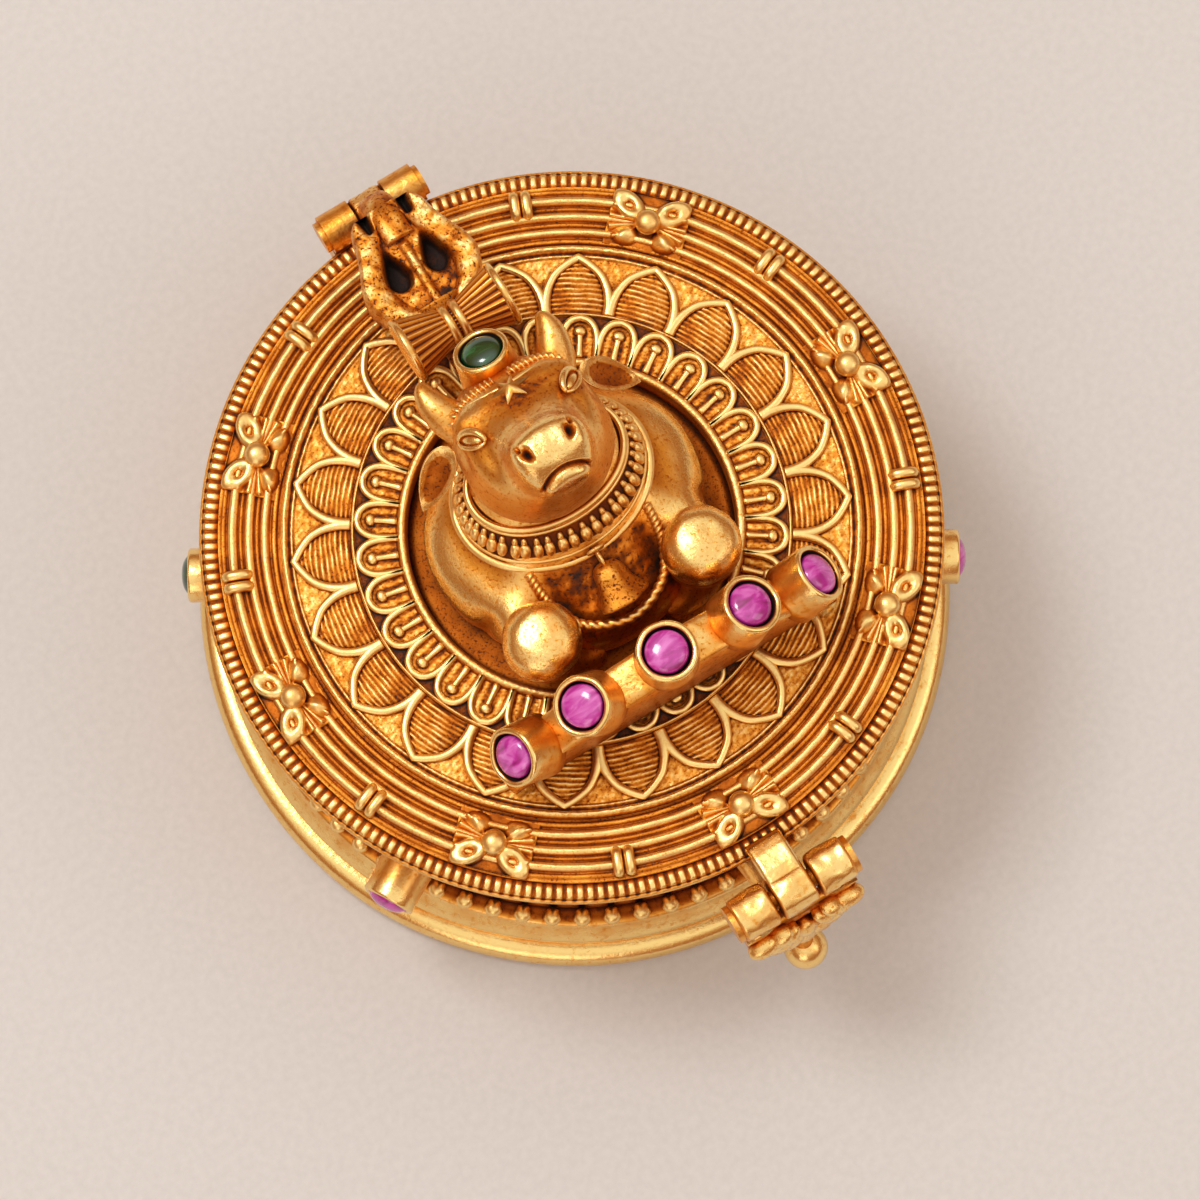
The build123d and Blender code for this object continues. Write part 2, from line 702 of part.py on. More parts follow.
# Bell: hangs mouth down on the chest from a small link
bell_plane = Plane(origin=spot(0, -3.4, 32.9), x_dir=(1, 0, 0), z_dir=(0, -0.927, -0.374))
with BuildPart() as chest_bell:
    for along, radius in ((0.0, 0.6), (1.0, 1.1), (2.4, 1.35), (3.4, 1.9)):
        with BuildSketch(bell_plane.offset(figure * along)):
            Circle(figure * radius)
    loft(ruled=True)
    for blocker in (chest, rope_necklace.part, collar_wire.part, neck_collar.part):
        add(blocker, mode=Mode.SUBTRACT)
write(chest_bell, "chest_bell")

# Forehead band: a raised strip across the brow, with a star in its middle
band_half = 0.4
band_rise = 0.35
star_points = 5
with BuildPart() as head_band:
    with BuildSketch(level(0, 37.5)):
        with BuildLine():
            ThreePointArc((-4.6 * figure, 9.9 * figure), (0, 7.7 * figure), (4.6 * figure, 9.9 * figure))
            offset(amount=figure * band_half)
        make_face()
    extrude(amount=figure * 8)
    add(head_form(band_rise), mode=Mode.INTERSECT)
    with BuildSketch(Plane(origin=spot(0, 7.6, 41.1), x_dir=(1, 0, 0), z_dir=(0, 0.7, 0.7))):
        with BuildLine():
            corners = []
            for point in range(2 * star_points):
                reach = figure * (1.3 if point % 2 == 0 else 0.55)
                angle = -pi / 2 + pi * point / star_points
                corners.append((reach * cos(angle), reach * sin(angle)))
            Polyline(*corners, close=True)
        make_face()
    extrude(amount=figure * 0.8, both=True)
    add(head, mode=Mode.SUBTRACT)
    add(chest, mode=Mode.SUBTRACT)
    with BuildSketch(poll_seat.offset(-figure * 3.2)):
        Circle(figure * 2.5)
    extrude(amount=figure * 8, mode=Mode.SUBTRACT)
    for blocker in (bull_horns.part, bull_head.part):
        add(blocker, mode=Mode.SUBTRACT)
write(head_band, "head_band")

# Drum: an hourglass body between two skins on an axis along X
drum_seat = spot(0, 15.2, 34.0)
drum_half = figure * 3.5
drum_radius = figure * 2.1
drum_waist = figure * 1.0
skin_radius = figure * 2.35
skin_thickness = figure * 0.5
waist_half = figure * 0.5
with BuildPart() as drum_body:
    for side in (-1, 1):
        with BuildSketch(across(drum_seat.Y, drum_seat.Z, side * drum_half)):
            Circle(drum_radius)
        with BuildSketch(across(drum_seat.Y, drum_seat.Z, side * waist_half)):
            Circle(drum_waist)
        loft()
    with BuildSketch(across(drum_seat.Y, drum_seat.Z, -waist_half)):
        Circle(1.3 * drum_waist)
    extrude(amount=2 * waist_half)
write(drum_body, "drum_body")

with BuildPart() as drum_skins:
    for side in (-1, 1):
        with BuildSketch(across(drum_seat.Y, drum_seat.Z, side * drum_half)):
            Circle(skin_radius)
        extrude(amount=side * skin_thickness)
write(drum_skins, "drum_skins")

# Trident: two bowed prongs and a middle one with open eyes between them, cast with the
# stem that comes up from the hinge and the tongue that carries the drum
trident_z = spot(0, 0, 31.0).Z
trident_thickness = 1.5
prong_rise = 0.5  # of the rims round the eyes, over the plate
trident_top = trident_z + trident_thickness
fork_y = hinge_y - 6.5  # middle of the bows
fork_foot = fork_y - 3.0
tongue_half = 1.6
with BuildSketch() as eye:
    with BuildLine():
        eye_point = (0.95, fork_y + 1.6)
        Spline(eye_point, (0.85, fork_y - 0.3), (1.7, fork_y - 1.5), (2.55, fork_y - 0.4), eye_point)
    make_face()
    mirror(about=Plane.YZ)
with BuildSketch() as plate:
    with BuildLine():
        ThreePointArc((2.0, fork_foot), (4.9, fork_y), (2.9, fork_y + 3.8))
        Polyline((2.9, fork_y + 3.8), (2.2, fork_y + 2.3), (1.15, fork_y + 3.0), (0, fork_y + 3.0))
        mirror(about=Plane.YZ)
        Line((-2.0, fork_foot), (2.0, fork_foot))
    make_face()
with BuildPart() as trident:
    with BuildSketch(Plane.XY.offset(trident_z)):
        add(plate.sketch)
        with Locations((0, fork_foot)):
            Rectangle(2 * tongue_half, fork_foot - figure * 9.2, align=(Align.CENTER, Align.MAX))
        add(eye.sketch, mode=Mode.SUBTRACT)
    extrude(amount=trident_thickness)
    with BuildSketch(Plane.XY.offset(trident_top)):
        for side in (-1, 1):
            with Locations((side * 1.7, fork_y)):
                Ellipse(1.45, 2.1, rotation=-side * 8)
        add(eye.sketch, mode=Mode.SUBTRACT)
    extrude(amount=prong_rise)
    stem_half = knuckle_half - 0.05
    with BuildSketch(across(0, 0, -stem_half)):
        with BuildLine():
            Polyline((step_y, hinge_z + hinge_knuckle_radius), (hinge_y, hinge_z + hinge_knuckle_radius),
                     (hinge_y + 0.2, hinge_z + 3.2), (hinge_y - 1.7, trident_top), (fork_y + 1.8, trident_top),
                     (fork_y + 1.8, trident_z), (hinge_y - 3.1, trident_z - 0.8), close=True)
        make_face()
    extrude(amount=2 * stem_half)
    for blocker in (chest, bull_head.part, drum_body.part, drum_skins.part):
        add(blocker, mode=Mode.SUBTRACT)
write(trident, "trident")

# Poll collet and its green stone
with BuildPart() as poll_collet:
    with BuildSketch(poll_seat.offset(-figure * 3.2)):
        Circle(figure * 2.4)
    with BuildSketch(poll_seat.offset(stone_sink)):
        Circle(poll_stone_radius + 0.6)
    loft()
    with BuildSketch(poll_seat):
        Circle(poll_stone_radius + stone_fit)
    extrude(amount=2 * cabochon_height, mode=Mode.SUBTRACT)
    for blocker in (chest, bull_head.part, bull_horns.part, head_band.part, drum_body.part, trident.part):
        add(blocker, mode=Mode.SUBTRACT)
write(poll_collet, "poll_collet")

with BuildPart() as poll_stone:
    add(cabochon(poll_seat, poll_stone_radius, poll_girdle, cabochon_height))
write(poll_stone, "poll_stone")

# Crest: an upright arched plate across the front, with five collets on its edge
crest_radius = land_arch_radius - crest_inset
crest_front_y = -well_radius - crest_advance
crest_foot_z = relief_arch_z + pin_rise
crest_plane = Plane(origin=(0, crest_front_y, crest_centre_z), x_dir=(-1, 0, 0), z_dir=(0, 1, 0))
with BuildPart() as crest_plate:
    with BuildSketch(crest_plane):
        Circle(crest_radius)
        with Locations((0, -crest_radius)):
            Rectangle(3 * crest_radius, crest_radius - crest_centre_z + crest_foot_z,
                      align=(Align.CENTER, Align.MIN), mode=Mode.SUBTRACT)
    extrude(amount=crest_thickness)
write(crest_plate, "crest_plate")

crest_angles = [crest_stone_step * place for place in (-2, -1, 0, 1, 2)]
crest_seat = crest_radius + crest_collet_height - stone_sink


def crest_direction(angle, reach):
    out = Vector(sin(radians(angle)), 0, cos(radians(angle)))
    middle = Vector(0, crest_front_y + crest_thickness / 2, crest_centre_z)
    return Plane(origin=middle + out * reach, x_dir=(0, 1, 0), z_dir=out)


with BuildPart() as crest_collets:
    for angle in crest_angles:
        with BuildSketch(crest_direction(angle, crest_radius - stone_sink)):
            Circle(crest_collet_radius)
        extrude(amount=crest_collet_height + stone_sink)
        with BuildSketch(crest_direction(angle, crest_seat)):
            Circle(crest_stone_radius + 2 * stone_fit)
        extrude(amount=2 * cabochon_height, mode=Mode.SUBTRACT)
    with BuildSketch(crest_plane.offset(-crest_collet_radius)):
        Circle(crest_radius)
    extrude(amount=crest_thickness + 2 * crest_collet_radius, mode=Mode.SUBTRACT)
write(crest_collets, "crest_collets")

with BuildPart() as crest_rubies:
    for angle in crest_angles:
        add(cabochon(crest_direction(angle, crest_seat), crest_stone_radius, crest_girdle, cabochon_height))
write(crest_rubies, "crest_rubies")
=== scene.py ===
"""The looks of a round sindoor box in antique gold plate: a grooved cup on a flared
foot, a lid of ridged, petalled and arched bands, and a cast bull with his drum and
trident behind a crest of five set stones. Lengths here are in millimetres, and a
mesh is turned to metres when it is made."""

import json

import bpy
import numpy as np
from bpy.props import FloatProperty, IntProperty, PointerProperty, StringProperty
from bpy.types import Operator, Panel, PropertyGroup
from mathutils import Matrix, Vector


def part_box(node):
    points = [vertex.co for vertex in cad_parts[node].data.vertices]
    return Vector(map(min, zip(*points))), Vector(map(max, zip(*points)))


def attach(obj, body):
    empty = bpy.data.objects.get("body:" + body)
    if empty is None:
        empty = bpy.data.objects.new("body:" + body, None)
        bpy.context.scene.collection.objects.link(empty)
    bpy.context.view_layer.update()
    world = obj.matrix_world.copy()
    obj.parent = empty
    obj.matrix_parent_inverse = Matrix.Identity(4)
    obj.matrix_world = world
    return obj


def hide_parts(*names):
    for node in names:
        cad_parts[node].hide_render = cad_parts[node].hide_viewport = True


bl_info = {"name": "Sindoor box", "version": (1, 0, 0), "blender": (4, 5, 0),
           "location": "View3D > Sidebar > Sindoor box",
           "description": "Builds a gilt sindoor box with a bull on its lid", "category": "Object",}

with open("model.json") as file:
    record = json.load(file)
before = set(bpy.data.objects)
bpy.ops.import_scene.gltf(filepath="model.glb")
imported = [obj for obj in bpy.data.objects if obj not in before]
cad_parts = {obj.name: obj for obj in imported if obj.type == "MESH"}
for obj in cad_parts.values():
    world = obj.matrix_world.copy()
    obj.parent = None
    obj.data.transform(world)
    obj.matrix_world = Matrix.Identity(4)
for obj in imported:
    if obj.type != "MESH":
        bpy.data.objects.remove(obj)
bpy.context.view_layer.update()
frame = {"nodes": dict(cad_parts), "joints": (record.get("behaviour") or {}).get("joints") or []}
MM = 0.001
TAU = 2 * np.pi
RAISED_WEAR = 0.14  # patina gained where a form stands out
HOLLOW_WEAR = 0.14  # patina lost where it is sunk
DEEPEST_HOLLOW = 1.2  # in units of a piece's relief
CREVICE_SHADE_REACH = 0.9  # mm that the painted crevice shade, with grime, spreads
BLOTCH_WIDTH = 2.2
EVEN_ROUND = 20  # places round a circle as ripple() sees them, whatever its size


# Sizes read from the frame, in mm


def node_box(node):
    """Lowest and highest corner of a node of the frame, in mm."""
    low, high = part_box(node)
    return np.array(low) / MM, np.array(high) / MM


RIM_RADIUS = node_box("milled_rim")[1][0]
RIM_BOTTOM = node_box("milled_rim")[0][2]
RIM_TOP = node_box("milled_rim")[1][2]
BAND_Z = node_box("band_wires")[0][2]
PETAL_Z = node_box("petal_ring")[0][2]
ARCH_Z = node_box("arch_ring")[0][2]
PLATE_RADIUS = node_box("lid_plate")[1][0]
PETAL_EDGE = node_box("border_rings")[1][0]
ARCH_EDGE = 15.3  # outer edge of the arch band
WELL_EDGE = 11.4
WELL_FLOOR = node_box("bull_body")[0][2]
WALL_RADIUS = node_box("wall_sleeve")[1][0]
WALL_LOW = node_box("wall_sleeve")[0][2]
WALL_HIGH = node_box("wall_sleeve")[1][2]
HINGE = np.array(frame["joints"][0]["pos_m"]) / MM
CLASP = np.array(frame["joints"][1]["pos_m"]) / MM


# Meshes


def round_angles(count):
    """Angles in equal steps round a circle, as one row."""
    return np.linspace(0, TAU, count, endpoint=False)[None, :]


def joined(x, y, z):
    """Points from three coordinates, each spread to their common shape."""
    return np.stack(np.broadcast_arrays(x, y, z), axis=-1)


def grid_faces(rows, columns, wrap_rows=False, wrap_columns=True):
    """Quads between neighbours on a grid of rows and columns, as vertex numbers."""
    r = np.arange(rows if wrap_rows else rows - 1)[:, None]
    c = np.arange(columns if wrap_columns else columns - 1)[None, :]
    r2 = (r + 1) % rows
    c2 = (c + 1) % columns
    corners = [r * columns + c, r * columns + c2, r2 * columns + c2, r2 * columns + c]
    return np.stack(corners, axis=-1).reshape(-1, 4)


def fan(ring, middle):
    """Triangles from the edges of a ring of vertex numbers to one middle vertex."""
    count = len(ring)
    return np.stack([ring, np.roll(ring, -1), np.full(count, middle), np.full(count, -1)], axis=-1)


def shell(points, wear=None, wrap_rows=False, wrap_columns=True, caps=True):
    """A skin over a grid of points, closed at both ends by fans where caps is true.
    Returns (vertices, faces, wear); a triangle's fourth number is -1."""
    points = np.asarray(points, float)
    rows, columns = points.shape[:2]
    vertices = points.reshape(-1, 3)
    faces = grid_faces(rows, columns, wrap_rows, wrap_columns)
    wear = np.ones(rows * columns) if wear is None else np.broadcast_to(wear, (rows, columns)).reshape(-1)
    if caps and not wrap_rows:
        ends = np.array([points[0].mean(0), points[-1].mean(0)])
        first = fan(np.arange(columns)[::-1], len(vertices))
        last = fan((rows - 1) * columns + np.arange(columns), len(vertices) + 1)
        vertices = np.vstack([vertices, ends])
        wear = np.append(wear, [wear[:columns].mean(), wear[-columns:].mean()])
        faces = np.vstack([faces, first, last])
    corners = np.where(faces < 0, faces[:, [2]], faces)
    a, b, c, d = (vertices[corners[:, k]] - vertices.mean(0) for k in range(4))
    volume = (a * (np.cross(b, c) + np.cross(c, d))).sum()
    return vertices, faces if volume > 0 else turned_out(faces), wear


def turned_out(faces):
    """The same faces seen from their other side."""
    triangles = faces[:, 3] < 0
    swapped = faces[:, ::-1].copy()
    swapped[triangles] = np.column_stack([faces[triangles][:, 2::-1], np.full(triangles.sum(), -1)])
    return swapped


def slab(top, low, wear):
    """A closed pad: a grid of points for its face, and under its two long edges a
    plain back at the height low."""
    def under(column):
        return np.concatenate([top[:, column, :2], np.full((len(top), 1), low)], axis=1)[:, None]
    points = np.concatenate([top, under(-1), under(0)], axis=1)
    wear = np.concatenate([wear, wear[:, -1:] * 0.3, wear[:, :1] * 0.3], axis=1)
    return shell(points, wear)


def merged(parts):
    """Several (vertices, faces, wear) skins as one."""
    start = np.cumsum([0] + [len(part[0]) for part in parts[:-1]])
    faces = [np.where(part[1] < 0, -1, part[1] + s) for part, s in zip(parts, start)]
    vertices = np.vstack([part[0] for part in parts])
    return vertices, np.vstack(faces), np.concatenate([part[2] for part in parts])


def placed(part, matrix, shift=(0, 0, 0)):
    """A skin turned by a 3 by 3 matrix and then shifted."""
    return part[0] @ np.asarray(matrix, float).T + np.asarray(shift, float), part[1], part[2]


def repeated(part, count, first=-90.0, skip=()):
    """A skin set round the Z axis in equal steps from a first angle in degrees."""
    return merged([placed(part, turn_z(first + 360 * k / count)) for k in range(count) if k not in skip])


def frame_matrix(normal, across=(1, 0, 0)):
    """A turn whose third column is the normal and whose first is nearest to across."""
    n = np.asarray(normal, float)
    n = n / np.linalg.norm(n)
    a = np.asarray(across, float)
    a = a - n * (a @ n)
    a = a / np.linalg.norm(a)
    return np.stack([a, np.cross(n, a), n], axis=1)


def turn_z(angle):
    """The turn about Z by an angle in degrees."""
    c, s = np.cos(np.radians(angle)), np.sin(np.radians(angle))
    return np.array([[c, -s, 0], [s, c, 0], [0, 0, 1]])


def mirrored(part):
    """A skin mirrored in the plane X = 0, with its faces turned back outward."""
    return part[0] * [-1, 1, 1], turned_out(part[1]), part[2]


def both_sides(*parts):
    """Skins and their mirror images as one."""
    return merged([skin for part in parts for skin in (part, mirrored(part))])


def exposure(vertices, faces, rounds):
    """How far each vertex stands out of its neighbourhood: the distance along the
    normal from a smoothed copy of the mesh, where smoothing is a repeated average
    of neighbours, so ridges come out positive and grooves negative."""
    quads = faces[:, 3] >= 0
    corners = np.where(faces < 0, faces[:, [2]], faces)
    edges = np.vstack([corners[:, [0, 1]], corners[:, [1, 2]], corners[:, [2, 3]][quads],
                       corners[:, [3, 0]]])
    a = np.concatenate([edges[:, 0], edges[:, 1]])
    b = np.concatenate([edges[:, 1], edges[:, 0]])
    count = np.maximum(np.bincount(a, minlength=len(vertices)), 1)
    p, q, r, s = (vertices[corners[:, k]] for k in range(4))
    cross = np.cross(r - p, s - q)
    normals = np.zeros_like(vertices)
    for axis in range(3):
        for corner in range(4):
            normals[:, axis] += np.bincount(corners[:, corner], cross[:, axis], len(vertices))
    normals /= np.maximum(np.linalg.norm(normals, axis=1, keepdims=True), 1e-12)
    smooth = vertices.copy()
    for _ in range(rounds):
        total = np.stack([np.bincount(a, smooth[b, k], len(vertices)) for k in range(3)], axis=1)
        smooth = 0.5 * smooth + 0.5 * total / count[:, None]
    return ((vertices - smooth) * normals).sum(1)


def make_piece(name, part, body, material, replaced=(), slot="gilt_metal", relief=0.05, rounds=6):
    """A finished object at the origin: the skin in metres, with its patina kept in
    an attribute, riding on a body and standing for the nodes that it replaces.
    Patina is the given wear, with painted light and shade where a piece's wear holds them, raised on
    ridges and lowered in grooves."""
    vertices, faces, wear = part
    mesh = bpy.data.meshes.new(name)
    triangles = faces[:, 3] < 0
    sizes = np.where(triangles, 3, 4)
    starts = np.concatenate([[0], np.cumsum(sizes)[:-1]])
    corners = faces.reshape(-1)
    corners = corners[corners >= 0]
    mesh.vertices.add(len(vertices))
    mesh.vertices.foreach_set("co", (vertices * MM).astype(np.float32).reshape(-1))
    mesh.loops.add(len(corners))
    mesh.loops.foreach_set("vertex_index", corners.astype(np.int32))
    mesh.polygons.add(len(faces))
    mesh.polygons.foreach_set("loop_start", starts.astype(np.int32))
    mesh.update(calc_edges=True)
    mesh.validate()
    mesh.polygons.foreach_set("use_smooth", np.ones(len(mesh.polygons), bool))
    stand = exposure(vertices, faces, rounds) / relief
    sunk = np.clip(-stand, 0, DEEPEST_HOLLOW)
    value = unit(wear + RAISED_WEAR * np.tanh(stand) - HOLLOW_WEAR * sunk)
    mesh.attributes.new("patina_and_painted_light", "FLOAT", "POINT").data.foreach_set("value", value.astype(np.float32))
    mesh.materials.append(material)
    piece = bpy.data.objects.new(name, mesh)
    bpy.context.scene.collection.objects.link(piece)
    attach(piece, body)
    if replaced:
        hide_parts(*replaced)
    return piece


def dress(node, part, body, material, **more):
    """A piece that stands for one node of the frame and is named after it."""
    return make_piece("dressed_" + node, part, body, material, [node], **more)


# Shapes that several pieces share


def turned(profile, segments, sweep=False, shift=None, wear=None):
    """A profile of (radius, height) pairs turned round the Z axis. With sweep, the
    closed profile is not capped. shift(radius, angle, height) may move each point."""
    profile = np.asarray(profile, float)
    angle = round_angles(segments)
    r = np.repeat(profile[:, :1], segments, axis=1)
    z = np.repeat(profile[:, 1:2], segments, axis=1)
    if shift is not None:
        dr, dz = shift(r, angle, z)
        r = r + dr
        z = z + dz
    return shell(polar(r, angle, z), wear, wrap_rows=sweep, caps=not sweep)


def ball(centre, radii, rows=12, columns=20, wear=None):
    """An ellipsoid: cosines and sines of latitude and longitude times the radii."""
    lat = np.linspace(-np.pi / 2, np.pi / 2, rows + 2)[1:-1, None]
    lon = round_angles(columns)
    sphere = polar(np.cos(lat), lon, np.sin(lat) * np.ones_like(lon))
    return shell(sphere * np.asarray(radii, float) + np.asarray(centre, float), wear)


def along_path(path, radius, columns=10, closed=False, twist=None, flat=1.0, wear=None):
    """A tube: at each point of the path a ring in the plane across it, kept upright
    by a reference normal. radius may vary along the path; twist, a table of path
    points by ring points, adds to it; flat scales the ring across its second axis."""
    path = np.asarray(path, float)
    if closed:
        tangent = np.roll(path, -1, axis=0) - np.roll(path, 1, axis=0)
    else:
        tangent = np.gradient(path, axis=0)
    tangent /= np.linalg.norm(tangent, axis=1, keepdims=True)
    up = np.zeros_like(path)
    up[:, 2] = 1
    steep = np.abs(tangent[:, 2]) > 0.97
    up[steep] = [0, 1, 0]
    side = np.cross(up, tangent)
    side /= np.linalg.norm(side, axis=1, keepdims=True)
    top = np.cross(tangent, side)
    angle = round_angles(columns)
    r = np.broadcast_to(np.asarray(radius, float).reshape(-1, 1), (len(path), columns)).copy()
    if twist is not None:
        r = r + twist
    across = (np.cos(angle) * r)[..., None] * side[:, None, :]
    upward = (np.sin(angle) * r * flat)[..., None] * top[:, None, :]
    return shell(path[:, None, :] + (across + upward), wear, wrap_rows=closed, caps=not closed)


def wire_on(path, radius, columns=8, flat=1.0, foot=0.25, crown=0.95):
    """A soldered wire, worn bright along its crown and dark at its foot."""
    angle = round_angles(columns)
    wear = np.broadcast_to(foot + (crown - foot) * unit(np.sin(angle) + 0.35), (len(path), columns))
    return along_path(path, radius, columns, flat=flat, wear=wear)


def smooth_curve(points, count, closed=False):
    """A curve through given points: a Catmull-Rom spline, a cubic in each span whose
    slope at a point is half the step between its neighbours."""
    p = np.asarray(points, float)
    if closed:
        p = np.vstack([p[-1], p, p[0], p[1]])
    else:
        p = np.vstack([2 * p[0] - p[1], p, 2 * p[-1] - p[-2]])
    spans = len(p) - 3
    t = np.linspace(0, spans, count, endpoint=not closed)
    i = np.minimum(t.astype(int), spans - 1)
    f = (t - i)[:, None]
    a, b, c, d = p[i], p[i + 1], p[i + 2], p[i + 3]
    return 0.5 * (2 * b + (c - a) * f + (2 * a - 5 * b + 4 * c - d) * f ** 2
                  + (3 * b - a - 3 * c + d) * f ** 3)


def squared(angle, power):
    """Radius of a superellipse: round at a power of 2, squarer above it."""
    return (np.abs(np.cos(angle)) ** power + np.abs(np.sin(angle)) ** power) ** (-1 / power)


def unit(value):
    """A value kept within 0 and 1."""
    return np.clip(value, 0, 1)


def bell(distance, width):
    """A bell curve: 1 in the middle, about a third at its width."""
    return np.exp(-(distance / width) ** 2)


def polar(radius, angle, z):
    """Points from radius, angle and height."""
    return joined(radius * np.cos(angle), radius * np.sin(angle), z)


def ridge(distance, half_width, height):
    """A half-round wire: the height of a circle arc over its distance from the middle."""
    return height * np.sqrt(unit(1 - (distance / half_width) ** 2))


def dimple(points, centre, size, depth):
    """A round bump or pit: depth times a bell curve of the distance from its centre."""
    d2 = (((points - np.asarray(centre, float)) / np.asarray(size, float)) ** 2).sum(-1)
    return depth * np.exp(-d2)


def modelled(start, points, forms):
    """Bumps and pits, each (centre, size, depth), added on both sides of the bull."""
    total = start
    for side in (-1, 1):
        for (x, y, z), size, depth in forms:
            total = total + dimple(points, (side * x, y, z), size, depth)
    return total


def ripple(x, y, z, seed, scale):
    """Unevenness of hand work: sines of mixed directions in three widths, each half
    as wide and half as high as the last, within about one."""
    rng = np.random.default_rng(seed)
    total = np.zeros(np.broadcast(x, y, z).shape)
    for octave in range(3):
        for _ in range(5):
            k = rng.normal(size=3) / scale * 2 ** octave
            total = total + np.sin(k[0] * x + k[1] * y + k[2] * z + rng.uniform(0, TAU)) / 2 ** octave
    return total / 5


def ripple_round(a, seed, scale):
    """Unevenness round a circle, the same at every radius and height."""
    return ripple(np.cos(a) * EVEN_ROUND, np.sin(a) * EVEN_ROUND, 0, seed, scale)


def pushed(points, amount, wrap_columns=True):
    """Grid points moved along their normals by an amount each."""
    def step(axis, wrap):
        if wrap:
            return np.roll(points, -1, axis=axis) - np.roll(points, 1, axis=axis)
        return np.gradient(points, axis=axis)
    normal = np.cross(step(1, wrap_columns), step(0, False))
    normal /= np.maximum(np.linalg.norm(normal, axis=-1, keepdims=True), 1e-9)
    return points + normal * amount[..., None]


# Materials


def hex_linear(code):
    """An sRGB hex colour as linear red, green, blue and full alpha."""
    channels = [int(code[i:i + 2], 16) / 255 for i in (1, 3, 5)]
    return (*[c / 12.92 if c <= 0.04045 else ((c + 0.055) / 1.055) ** 2.4 for c in channels], 1.0)


def add_node(tree, kind, settings=None, links=None):
    """A shader node with its properties set and its inputs given a value or a link."""
    made = tree.nodes.new(kind)
    for key, value in (settings or {}).items():
        setattr(made, key, value)
    for key, value in (links or {}).items():
        if isinstance(value, bpy.types.NodeSocket):
            tree.links.new(value, made.inputs[key])
        else:
            made.inputs[key].default_value = value
    return made


def set_ramp(node, stops):
    """Colour stops of a ramp, as (place, sRGB hex) pairs."""
    ramp = node.color_ramp
    while len(ramp.elements) < len(stops):
        ramp.elements.new(0.5)
    for element, (place, code) in zip(ramp.elements, stops):
        element.position = place
        element.color = hex_linear(code)


def new_material(name):
    """An empty node material with its output and a Principled shader."""
    material = bpy.data.materials.new(name)
    material.use_nodes = True
    material.node_tree.nodes.clear()
    tree = material.node_tree
    shader = add_node(tree, "ShaderNodeBsdfPrincipled")
    add_node(tree, "ShaderNodeOutputMaterial", links={"Surface": shader.outputs["BSDF"]})
    return material, tree, shader


def noise(tree, place, width_mm, **inputs):
    """A noise texture whose blobs are about width_mm across; its grey output."""
    links = {"Vector": place, "Scale": 1 / (width_mm * MM), **inputs}
    return add_node(tree, "ShaderNodeTexNoise", {}, links).outputs["Fac"]


def mapped(tree, source, low, high, least, most):
    """A value spread from low..high to least..most."""
    links = {"Value": source, "From Min": low, "From Max": high, "To Min": least, "To Max": most}
    return add_node(tree, "ShaderNodeMapRange", {}, links).outputs["Result"]


def antique_gold(name, stops, roughness, grain_mm, grain_depth_mm, crevice_shade_and_grime, pits, even=None):
    """Gold plate over cast silver, blackened and wiped: bright where it is rubbed,
    brown to black where the polish never reached. An ambient occlusion node darkens
    the colour further in crevices and between parts: painted shade, with grime. The
    eye sees warm metal with dark outlines round each raised part, and a fine grain
    from the casting sand. On the bull's head and in the trident's notch the patina
    attribute carries painted light and shade as well. With even, the patina is that
    number all over, for a piece without the attribute."""
    material, tree, shader = new_material(name)
    place = add_node(tree, "ShaderNodeTexCoord").outputs["Object"]
    patina_and_painted_light = even
    if even is None:
        patina_and_painted_light = add_node(tree, "ShaderNodeAttribute", {"attribute_name": "patina_and_painted_light"}).outputs["Fac"]
    # Painted shade: ambient occlusion darkens the colour in crevices and at the joins between parts,
    # standing also for grime.
    crevice_shade = add_node(tree, "ShaderNodeAmbientOcclusion", {"samples": 6},
                       {"Distance": CREVICE_SHADE_REACH * MM})
    broad = noise(tree, place, BLOTCH_WIDTH, Detail=3.0)
    grain = noise(tree, place, grain_mm, Detail=4.0, Roughness=0.65)
    total = patina_and_painted_light
    layers = ((crevice_shade.outputs["AO"], 0.20, 0.80, -crevice_shade_and_grime, 0.04, False),
              (broad, 0.3, 0.7, -0.09, 0.09, False),
              (grain, 0.33, 0.46, -pits, 0.0, True))
    for source, low, high, least, most, clamp in layers:
        part = mapped(tree, source, low, high, least, most)
        total = add_node(tree, "ShaderNodeMath", {"operation": "ADD", "use_clamp": clamp},
                         {0: total, 1: part}).outputs[0]
    colour = add_node(tree, "ShaderNodeValToRGB", {}, {"Fac": total})
    set_ramp(colour, stops)
    bump = add_node(tree, "ShaderNodeBump", {},
                    {"Height": grain, "Strength": 0.6, "Distance": grain_depth_mm * MM})
    for socket, source in (("Base Color", colour.outputs["Color"]),
                           ("Roughness", mapped(tree, total, 0.0, 1.0, 0.75, roughness)),
                           ("Metallic", mapped(tree, total, 0.0, 0.30, 0.25, 1.0)),
                           ("Normal", bump.outputs["Normal"])):
        tree.links.new(source, shader.inputs[socket])
    return material


